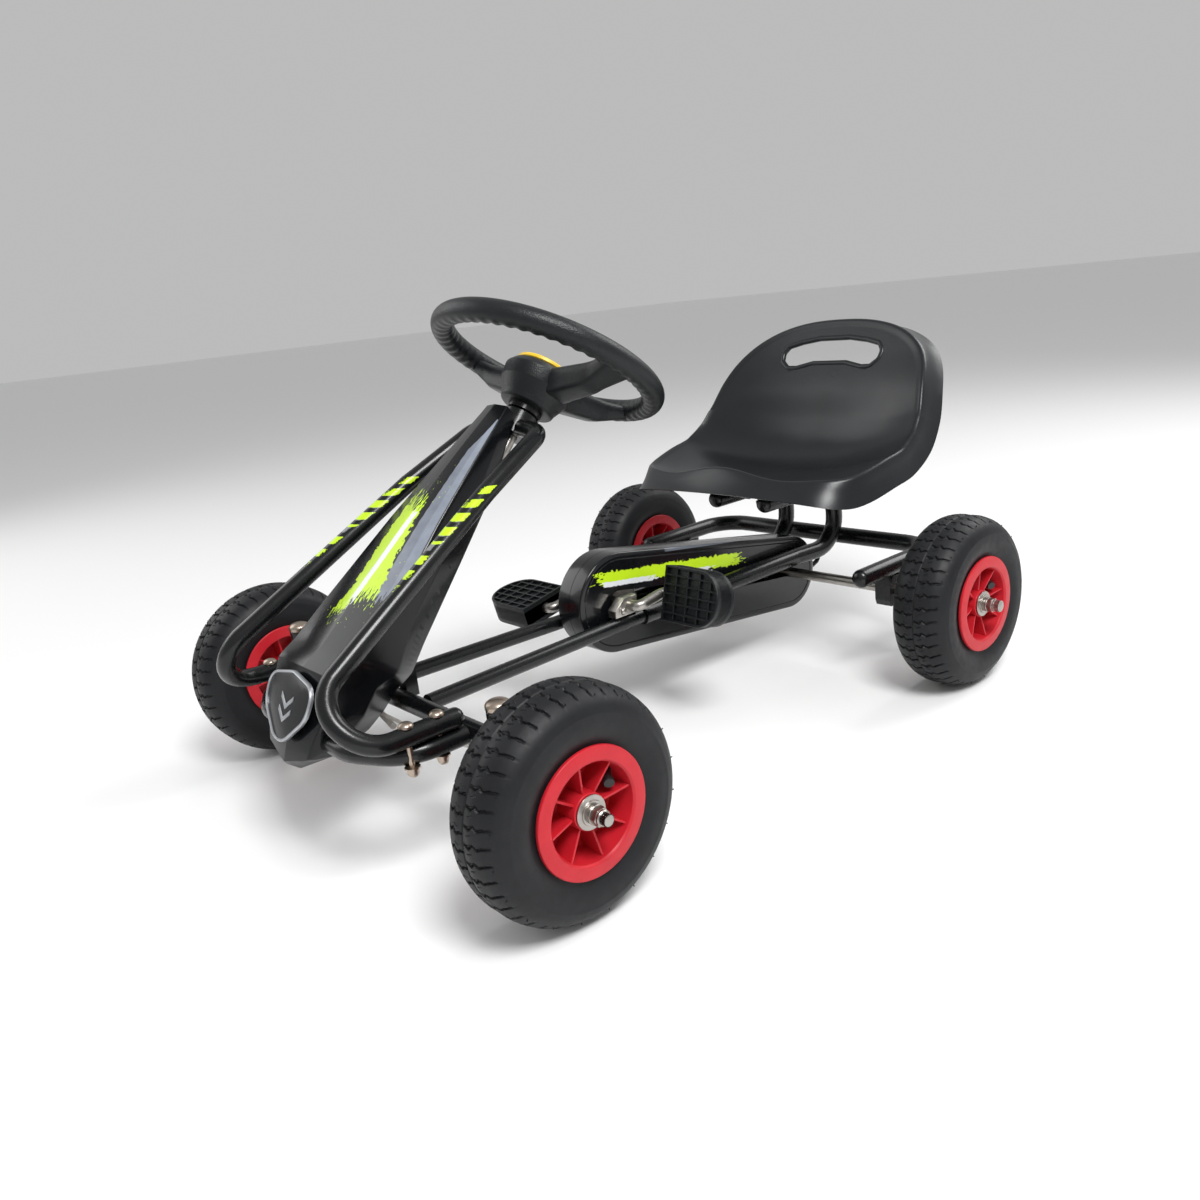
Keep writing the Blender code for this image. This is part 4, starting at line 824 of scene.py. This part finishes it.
def printed_case():
    """Gloss black with a lime and pale splash on the side and a grey stripe under the top edge."""
    made, shader, place = material("printed_gloss_case", COVER_BLACK, 0.18, coat=0.25, shine=0.35)
    x, y, z = place.part(0), place.part(1) - float(ROW[1]), place.part(2)
    side = abs(x).above(0.0205, 0.0005)
    rough = (place.noise(190.0, 4.0) - 0.5) * 0.040
    brush = (place.noise(420.0, 3.0, (1.0, 0.25, 1.0)) - 0.5) * 0.060
    run = y * 0.14 + z
    splash = (0.0085 - abs(run - 0.1950) + rough * 0.28).above(0.0, 0.0006)
    splash = splash * (y + brush * 1.5).within(-0.0400, 0.2250, 0.001)
    pale = (0.0034 - abs(run - 0.1868) + rough * 0.10).above(0.0, 0.0006)
    pale = pale * ((y + brush).within(-0.0330, 0.0560, 0.001) + (y + brush).within(0.0950, 0.1650, 0.001))
    colour = (splash * side).tint((*COVER_BLACK, 1.0), LIME)
    colour = (pale * side).tint(colour, WHITE)
    top = (z + y * 0.139).within(0.2195, 0.2240, 0.0005) * y.within(0.0800, 0.2900, 0.004) * side
    feed(shader, Base_Color=top.tint(colour, (0.10, 0.11, 0.13, 1.0)))
    feed(shader, Roughness=place.noise(40.0, 2.0) * 0.14 + 0.14)
    feed(shader, Normal=place.noise(150.0, 1.0).bump(0.00025, 0.3))
    return made


CASE = printed_case()
for side, sign in SIDES:
    piece(f"printed_chain_case_{side}", [(case_surface(sign), True, 0)], [CASE], "frame",
          "black_cover", f"chain_case_{side}")


# ---- seat ---------------------------------------------------------------------------------
# One blow-moulded bucket in satin black plastic: a wavy front lip, a rolled crest, a deep
# turned-down edge, and a hand slot with a raised border at the top of the back.
SEAT_LINE = ((0.2252, 0.2909), (0.2662, 0.2711), (0.3321, 0.2672), (0.3823, 0.2667), (0.4235, 0.2871),
             (0.4485, 0.3241), (0.4649, 0.3699), (0.4918, 0.4195), (0.5148, 0.4658))
SEAT_RISE = (-0.0069, 0.0124, 0.0286, 0.0383, 0.0398, 0.0345, 0.0258, 0.0187, 0.0114)
SEAT_WALL, CREST, EDGE_DROP, EDGE_FLARE = 0.0022, 0.0052, 0.0380, 0.0062
SEAT_HALF = (0.2253, 0.2141, 0.2045, 0.1997, 0.1981, 0.1969, 0.1987, 0.2072, 0.2143)
FINE = 40
line_table = through(SEAT_LINE, FINE)
rise_table = through(np.array(SEAT_RISE)[:, None], FINE)[:, 0]
half_table = through(np.array(SEAT_HALF)[:, None], FINE)[:, 0]
v_table = np.linspace(-1.0, 1.0, len(line_table))
ahead_table = unit(np.gradient(line_table, axis=0))


def seat_point(a, b):
    """Points of the bucket's top sheet: a across and b from lip to top, both -1 to 1.

    The square is rounded by a power mean of a and b.  The middle follows the side profile, the
    sides rise square to it with a power of the distance across, and the lip dips at each thigh.
    """
    power = np.where(b < 0, 3.3, 2.45)
    reach = np.maximum(np.maximum(np.abs(a), np.abs(b)), 1e-6)
    rounding = reach / (np.abs(a) ** power + np.abs(b) ** power + 1e-9) ** (1 / power)
    u, v = a * rounding, b * rounding
    y, z = (np.interp(v, v_table, line_table[:, i]) for i in (0, 1))
    ahead = [np.interp(v, v_table, ahead_table[:, i]) for i in (0, 1)]
    inward = unit(np.stack([0 * y, -ahead[1], ahead[0]], -1))
    lift = np.interp(v, v_table, rise_table) * np.abs(u) ** 2.4
    thigh = np.sin(pi * np.minimum(1.1 * np.abs(u), 1.0)) ** 2
    dip = 0.0122 * thigh * np.maximum(0.0, (-v - 0.4) / 0.6) ** 2
    spot = np.stack([u * np.interp(v, v_table, half_table), y, z], -1) + inward * lift[..., None]
    return spot, dip, inward


def seat_surface(around=288, steps=44):
    """The bucket as closed rings round its middle: out over the top sheet, over the rolled
    crest, down the turned edge, and back inside at the wall's thickness."""
    turn = np.linspace(0.0, 2 * pi, around, endpoint=False)
    a, b = np.cos(turn), np.sin(turn)
    square = np.maximum(np.abs(a), np.abs(b))
    a, b = a / square, b / square
    reach = np.linspace(0.02, 1.0, steps)[:, None]
    spot, dip, inward = seat_point(reach * a, reach * b)
    drop = np.array((0.0, 0.0, -1.0))
    top = spot + drop * dip[..., None] + inward * SEAT_WALL
    under = spot + drop * dip[..., None] - inward * SEAT_WALL
    edge, edge_in = spot[-1], inward[-1]
    out = edge - np.array((0.0, 0.37, 0.35))
    out = unit(out - edge_in * np.sum(out * edge_in, -1, keepdims=True))
    rolled = edge + drop * dip[-1][:, None]
    crest = [rolled + edge_in * (SEAT_WALL + 0.0016 - CREST * (1 - cos(angle))) + out * CREST * sin(angle)
             for angle in radians(30.0) * np.arange(4)]

    def turned_edge(shares, gap):
        """Rings down the turned edge, which flares with the square of the way down."""
        return np.array([edge + (1 - share) * (rolled - edge) - edge_in * (EDGE_DROP * share)
                         + out * (gap + EDGE_FLARE * share ** 2) for share in shares])

    skirt = turned_edge(np.linspace(0.25, 1.0, 8), 0.0058)
    back = turned_edge(np.linspace(1.0, 0.20, 6), 0.0015)
    return np.concatenate([top[:-1], np.array(crest), skirt, back, under[::-1][2:]])


def moulded_seat():
    """Satin black plastic with a fine leathery grain and uneven gloss."""
    made, shader, place = material("satin_seat_plastic", (0.004, 0.005, 0.006), 0.32, shine=0.40)
    cloud = place.noise(18.0, 3.0)
    feed(shader, Base_Color=cloud.tint((0.005, 0.006, 0.007, 1.0), (0.009, 0.011, 0.013, 1.0)))
    feed(shader, Roughness=place.noise(25.0, 3.0) * 0.14 + 0.24)
    feed(shader, Normal=(place.cells(900.0) + place.noise(300.0, 2.0)).bump(0.00010, 0.5))
    return made


SEAT = moulded_seat()
SLOT = [(0.030, 0.4075), (0.060, 0.4010), (0.077, 0.4010), (0.090, 0.4105), (0.092, 0.4230),
        (0.084, 0.4330), (0.060, 0.4390), (0.028, 0.4435)]
outline = rounded_ring(SLOT + [(-x, z) for x, z in reversed(SLOT)], 0.010, 5)


def back_y(z):
    """How far back the middle of the seat's sheet is at a height."""
    upper = line_table[:, 1] > 0.30
    return np.interp(z, line_table[upper, 1], line_table[upper, 0])


seat = piece("moulded_bucket_seat", [(seat_surface(), False, 0)], [SEAT], "seat", "seat_plastic",
             "seat_shell", crease=50.0)
depths = np.array((-0.06, 0.06))[:, None, None]
flat = np.broadcast_to(outline[None], (2, *outline.shape))
cutter_points = np.concatenate([flat[..., :1], back_y(flat[..., 1:]) + depths, flat[..., 1:]], -1)
cutter = piece("hand_slot_cutter", [(cutter_points, False, 0)], [SEAT], "seat", "seat_plastic")
cut = seat.modifiers.new("hand_slot", "BOOLEAN")
cut.operation = "DIFFERENCE"
cut.object = cutter
cut.solver = "EXACT"
graph = bpy.context.evaluated_depsgraph_get()
opened = bpy.data.meshes.new_from_object(seat.evaluated_get(graph))
seat.modifiers.clear()
seat.data = opened
bpy.data.objects.remove(cutter, do_unlink=True)
rim_z = outline[:, 1]
across = np.abs(outline[:, 0])
back_z = line_table[FINE * 4:, 1]
share = across / np.interp(rim_z, back_z, half_table[FINE * 4:])
lift = np.interp(rim_z, back_z, rise_table[FINE * 4:]) * share ** 2.4
border = np.stack([outline[:, 0], back_y(rim_z) - lift * 0.92, rim_z + lift * 0.35], -1)
border = np.vstack([border, border[:1]])
piece("hand_slot_border", [(tube(border, 0.0042, 14)[:-1], True, 0)], [SEAT], "seat", "seat_plastic")


# ---- steering wheel -----------------------------------------------------------------------
# A moulded wheel in pebble-grained black plastic with finger notches under the grip, three
# spokes on a deep hub, and a yellow pad clipped into the middle.
RIM_TILT = radians(33.0)
RIM_AXIS = np.array((0.0, sin(RIM_TILT), cos(RIM_TILT)))
RIM_SIDE = np.array(SIDEWAYS)
RIM_AHEAD = np.cross(RIM_SIDE, RIM_AXIS)
RIM_RADIUS, RIM_TUBE = 0.1318, 0.0138


def grip_surface(around=360, ring=32, notches=52):
    """The grip: a ring of circles, dented by a cosine row of notches under and inside it."""
    turn = np.linspace(0.0, 2 * pi, around, endpoint=False)[:, None]
    angle = np.linspace(0.0, 2 * pi, ring, endpoint=False)[None, :]
    under = np.clip(np.cos(angle - radians(225.0)) * 1.3 - 0.15, 0.0, 1.0)
    notch = (0.5 + 0.5 * np.cos(turn * notches)) * under
    size = RIM_TUBE - 0.0016 * notch
    out = RIM_RADIUS + size * np.cos(angle)
    way = RIM_SIDE * np.cos(turn)[..., None] + RIM_AHEAD * np.sin(turn)[..., None]
    return COLUMN_TOP + way * out[..., None] + RIM_AXIS * (size * np.sin(angle))[..., None]


def spoke_surface(turn):
    """A spoke: a rounded box section that narrows outward and sinks into the grip."""
    way = RIM_SIDE * cos(turn) + RIM_AHEAD * sin(turn)
    side = np.cross(RIM_AXIS, way)
    reach = np.linspace(0.018, 0.131, 24)
    half = np.interp(reach, (0.018, 0.050, 0.100, 0.131), (0.0260, 0.0200, 0.0170, 0.0230))
    top = np.interp(reach, (0.018, 0.040, 0.090, 0.131), (-0.0135, -0.0120, -0.0055, 0.0040))
    low = np.interp(reach, (0.018, 0.040, 0.090, 0.131), (-0.0480, -0.0450, -0.0340, -0.0130))
    angle = np.linspace(0.0, 2 * pi, 32, endpoint=False)
    u = np.sign(np.cos(angle)) * np.abs(np.cos(angle)) ** 0.45
    v = np.sign(np.sin(angle)) * np.abs(np.sin(angle)) ** 0.45
    across = half[:, None] * u * (1.0 - 0.12 * (v < 0))
    up = (top + low)[:, None] / 2 + (top - low)[:, None] / 2 * v
    base = COLUMN_TOP + way * reach[:, None]
    return base[:, None] + side * across[..., None] + RIM_AXIS * up[..., None]


def grained_plastic():
    """Black plastic with a pebble grain: small rounded cells over soft cloudiness."""
    made, shader, place = material("pebble_grained_plastic", (0.006, 0.007, 0.008), 0.42, shine=0.35)
    pebble = 1.0 - place.cells(620.0)
    cloud = place.noise(50.0, 2.0)
    feed(shader, Base_Color=cloud.tint((0.004, 0.005, 0.006, 1.0), (0.008, 0.010, 0.011, 1.0)))
    feed(shader, Roughness=pebble * 0.10 + 0.34, Normal=pebble.bump(0.00035, 0.7))
    return made


GRAINED = grained_plastic()
hub_centre = COLUMN_TOP - COLUMN_AXIS * 0.022
hub = rounded_path([(0.0080, 0.0085), (0.0385, 0.0085), (0.0450, 0.0), (0.0430, -0.0160),
                    (0.0345, -0.0330), (0.0330, -0.0400), (0.0069, -0.0400)], 0.004, 5)
parts = [(grip_surface(), True, 0), (lathe(hub, hub_centre, COLUMN_AXIS, 64), False, 0)]
parts += [(spoke_surface(turn), False, 0) for turn in (0.0, pi, -pi / 2)]
piece("moulded_steering_wheel", parts, [GRAINED], "steering", "black_plastic", "steering_wheel")
YELLOW = mottled("yellow_pad_plastic", (0.72, 0.45, 0.015), (0.88, 0.60, 0.04), (120.0, 2.0),
                 (300.0, 2.0, 0.15, 0.32))
pad = [(0.0350, 0.0), (0.0360, 0.0008), (0.0360, 0.0035), (0.0350, 0.0048), (0.0290, 0.0070),
       (0.0180, 0.0083), (0.0040, 0.0087)]
piece("yellow_wheel_pad", [(lathe(pad, hub_centre + COLUMN_AXIS * 0.0098, COLUMN_AXIS, 48), False, 0)],
      [YELLOW], "steering", "yellow", "wheel_pad")


# ---- crank and pedals ---------------------------------------------------------------------
# One bent plated rod carries two thick D-shaped pedals of ribbed black plastic, and turns in two
# plated carriers fixed to the main tubes.
CRANK_ANGLE = radians(9.0)
THROW = 0.0500
crank_centre = np.array((0.0, CRANK_Y, CRANK_Z))
arm = np.array((0.0, cos(CRANK_ANGLE), sin(CRANK_ANGLE))) * THROW
bend, end = np.array((0.0585, 0.0, 0.0)), np.array((0.1620, 0.0, 0.0))
half_crank = [end + arm, bend + arm, bend]
route = [crank_centre + p for p in half_crank + [-p for p in reversed(half_crank)]]
piece("bent_crank_rod", [(tube(rounded_path(route, 0.0110, 8), 0.0070, 28), False, 0)], [ZINC],
      "crank", "zinc", "crank")
PEDAL_TILT = {"left": radians(75.0), "right": radians(12.0)}
PEDAL_INNER, PEDAL_BEND_X, PEDAL_HALF, PEDAL_THICK = 0.0700, 0.1290, 0.0355, 0.0155
RIB_HALF, CARRIER_X = 0.0010, 0.0440
for side, sign in SIDES:
    pin = crank_centre + arm * sign
    tilt = PEDAL_TILT[side]
    flat = np.array((0.0, cos(tilt), sin(tilt)))
    thick = np.array((0.0, -sin(tilt), cos(tilt)))

    def on_pedal(u, v, w):
        """A point of the pedal from its own across, along and thickness."""
        return pin * (0, 1, 1) + np.array((sign, 0, 0)) * u + flat * v + thick * w

    round_end = np.linspace(pi / 2, -pi / 2, 25)
    outline = [(PEDAL_INNER, -PEDAL_HALF), (PEDAL_INNER, PEDAL_HALF)]
    outline += [(PEDAL_BEND_X + PEDAL_HALF * cos(a), PEDAL_HALF * sin(a)) for a in round_end]
    outline = np.array(outline)
    rim = [(0.0, 0.0148), (0.0005, PEDAL_THICK), (0.0032, PEDAL_THICK), (0.0036, 0.0110)]
    rim = [(inset, -height) for inset, height in rim] + rim[::-1]
    parts = [(slab(outline, -0.0115, 0.0115, on_pedal, 0.0020), False, 0),
             (stepped(outline, right_of(outline), rim, on_pedal), True, 0)]
    ribs = []
    for v in (-0.0240, -0.0120, 0.0, 0.0120, 0.0240):
        reach = PEDAL_BEND_X + (PEDAL_HALF ** 2 - v ** 2) ** 0.5 - 0.002
        ribs.append((PEDAL_INNER + 0.002, v - RIB_HALF, reach, v + RIB_HALF, 0.0150))
    for u in (0.0900, 0.1100, 0.1300, 0.1480):
        half = (PEDAL_HALF ** 2 - max(u - PEDAL_BEND_X, 0.0) ** 2) ** 0.5 - 0.002
        ribs.append((u - RIB_HALF, -half, u + RIB_HALF, half, 0.0146))
    for u0, v0, u1, v1, depth in ribs:
        rib = [(u0, v0), (u1, v0), (u1, v1), (u0, v1)]
        parts.append((slab(rib, -depth, depth, on_pedal, 0.0003, 1), False, 0))
    piece(f"ribbed_pedal_{side}", parts, [GRAINED], f"pedal_{side}", "black_plastic", f"pedal_{side}")

    hanger = [(CRANK_Y - 0.026, 0.1504), (CRANK_Y + 0.012, 0.1504), (CRANK_Y + 0.012, CRANK_Z + 0.012),
              (CRANK_Y - 0.010, CRANK_Z + 0.012), (CRANK_Y - 0.026, CRANK_Z - 0.002)]
    low, high = sorted((sign * 0.0290, sign * CARRIER_X))

    def along_x(u, v, w):
        """Outline in the YZ plane, depth along X."""
        return np.concatenate([w, u, v], -1)

    bolt = [(0.0062, 0.0), (0.0062, 0.0010), (0.0048, 0.0014), *dome(0.0046, 0.0016, 0.0034)]
    place = np.array((sign * CARRIER_X, CRANK_Y - 0.014, CRANK_Z - 0.004))
    parts = [(slab(hanger, low, high, along_x, 0.0012), False, 0),
             (lathe([(r, a * sign) for r, a in bolt], place, SIDEWAYS, 28), False, 0)]
    piece(f"crank_carrier_{side}", parts, [ZINC], "frame", "zinc", f"crank_bracket_{side}")


# ---- parts shown as they are made -----------------------------------------------------------
# Plain machined and pressed parts, mostly out of sight: stub axles, tie rods, hangers, chain
# wheels, chain and the seat clamp keep their shape and get a real finish.
FINISHES = {
    PAINT: ["spindle_left", "spindle_right", "axle_bearing_left", "axle_bearing_right",
            "column_foot", "seat_bracket"],
    ZINC: ["tie_rod_left", "tie_rod_right", "pitman_arm", "chainring", "rear_sprocket", "chain",
           "rear_axle", "seat_clamp_bolt"],
    PLAIN_COVER: ["fairing_back"],
}
for finish, nodes in FINISHES.items():
    for name in nodes:
        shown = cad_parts[name]
        shown.data.materials.clear()
        shown.data.materials.append(finish)


# ---- room ---------------------------------------------------------------------------------
# A plain pale floor under three soft studio lights and an even white sky, seen from ahead of the
# kart's left front wheel.
def soft_light(name, place, aim, size, power):
    """A square area light turned towards a point."""
    lamp = bpy.data.lights.new(name, "AREA")
    lamp.shape = "SQUARE"
    lamp.size = size
    lamp.energy = power
    made = bpy.data.objects.new(name, lamp)
    bpy.context.collection.objects.link(made)
    made.location = place
    made.rotation_euler = (Vector(aim) - Vector(place)).to_track_quat("-Z", "Y").to_euler()
    return made


FLOOR_HALF = 30.0
corners = [(u * FLOOR_HALF, v * FLOOR_HALF, 0.0) for u, v in ((-1, -1), (1, -1), (1, 1), (-1, 1))]
floor_mesh = bpy.data.meshes.new("floor")
floor_mesh.from_pydata(corners, [], [(0, 1, 2, 3)])
floor_mesh.materials.append(material("pale_floor", (0.86, 0.86, 0.86), 0.7)[0])
floor = bpy.data.objects.new("floor", floor_mesh)
bpy.context.collection.objects.link(floor)
aim = (0.0, 0.0, 0.2)
lights = [soft_light("key", (1.5, -0.6, 2.2), aim, 0.9, 60.0),
          soft_light("fill", (-2.4, -1.2, 1.6), aim, 1.8, 20.0),
          soft_light("back", (0.6, 2.4, 2.2), aim, 1.6, 40.0)]
world = bpy.data.worlds.new("room")
world.use_nodes = True
sky = world.node_tree.nodes["Background"]
sky.inputs["Color"].default_value = (1.0, 1.0, 1.0, 1.0)
sky.inputs["Strength"].default_value = 0.50
bpy.context.scene.world = world
bpy.context.scene.view_settings.view_transform = "Standard"

AZIMUTH, ELEVATION, ROLL = radians(50.4507), radians(16.7050), radians(-6.2553)
CAMERA_PLACE = np.array((0.9682, -0.8224, 0.5425)) + ROW
back = np.array((sin(AZIMUTH) * cos(ELEVATION), -cos(AZIMUTH) * cos(ELEVATION), sin(ELEVATION)))
right = np.array((cos(AZIMUTH), sin(AZIMUTH), 0.0))
upward = np.cross(back, right)
columns = (right * cos(ROLL) + upward * sin(ROLL), upward * cos(ROLL) - right * sin(ROLL), back,
           CAMERA_PLACE)
lens = bpy.data.cameras.new("camera")
lens.sensor_width, lens.lens = 36.0, 30.157
camera = bpy.data.objects.new("camera", lens)
bpy.context.collection.objects.link(camera)
camera.matrix_world = Matrix([[*(float(c[i]) for c in columns)] for i in range(3)] + [[0.0, 0.0, 0.0, 1.0]])
bpy.context.scene.camera = camera
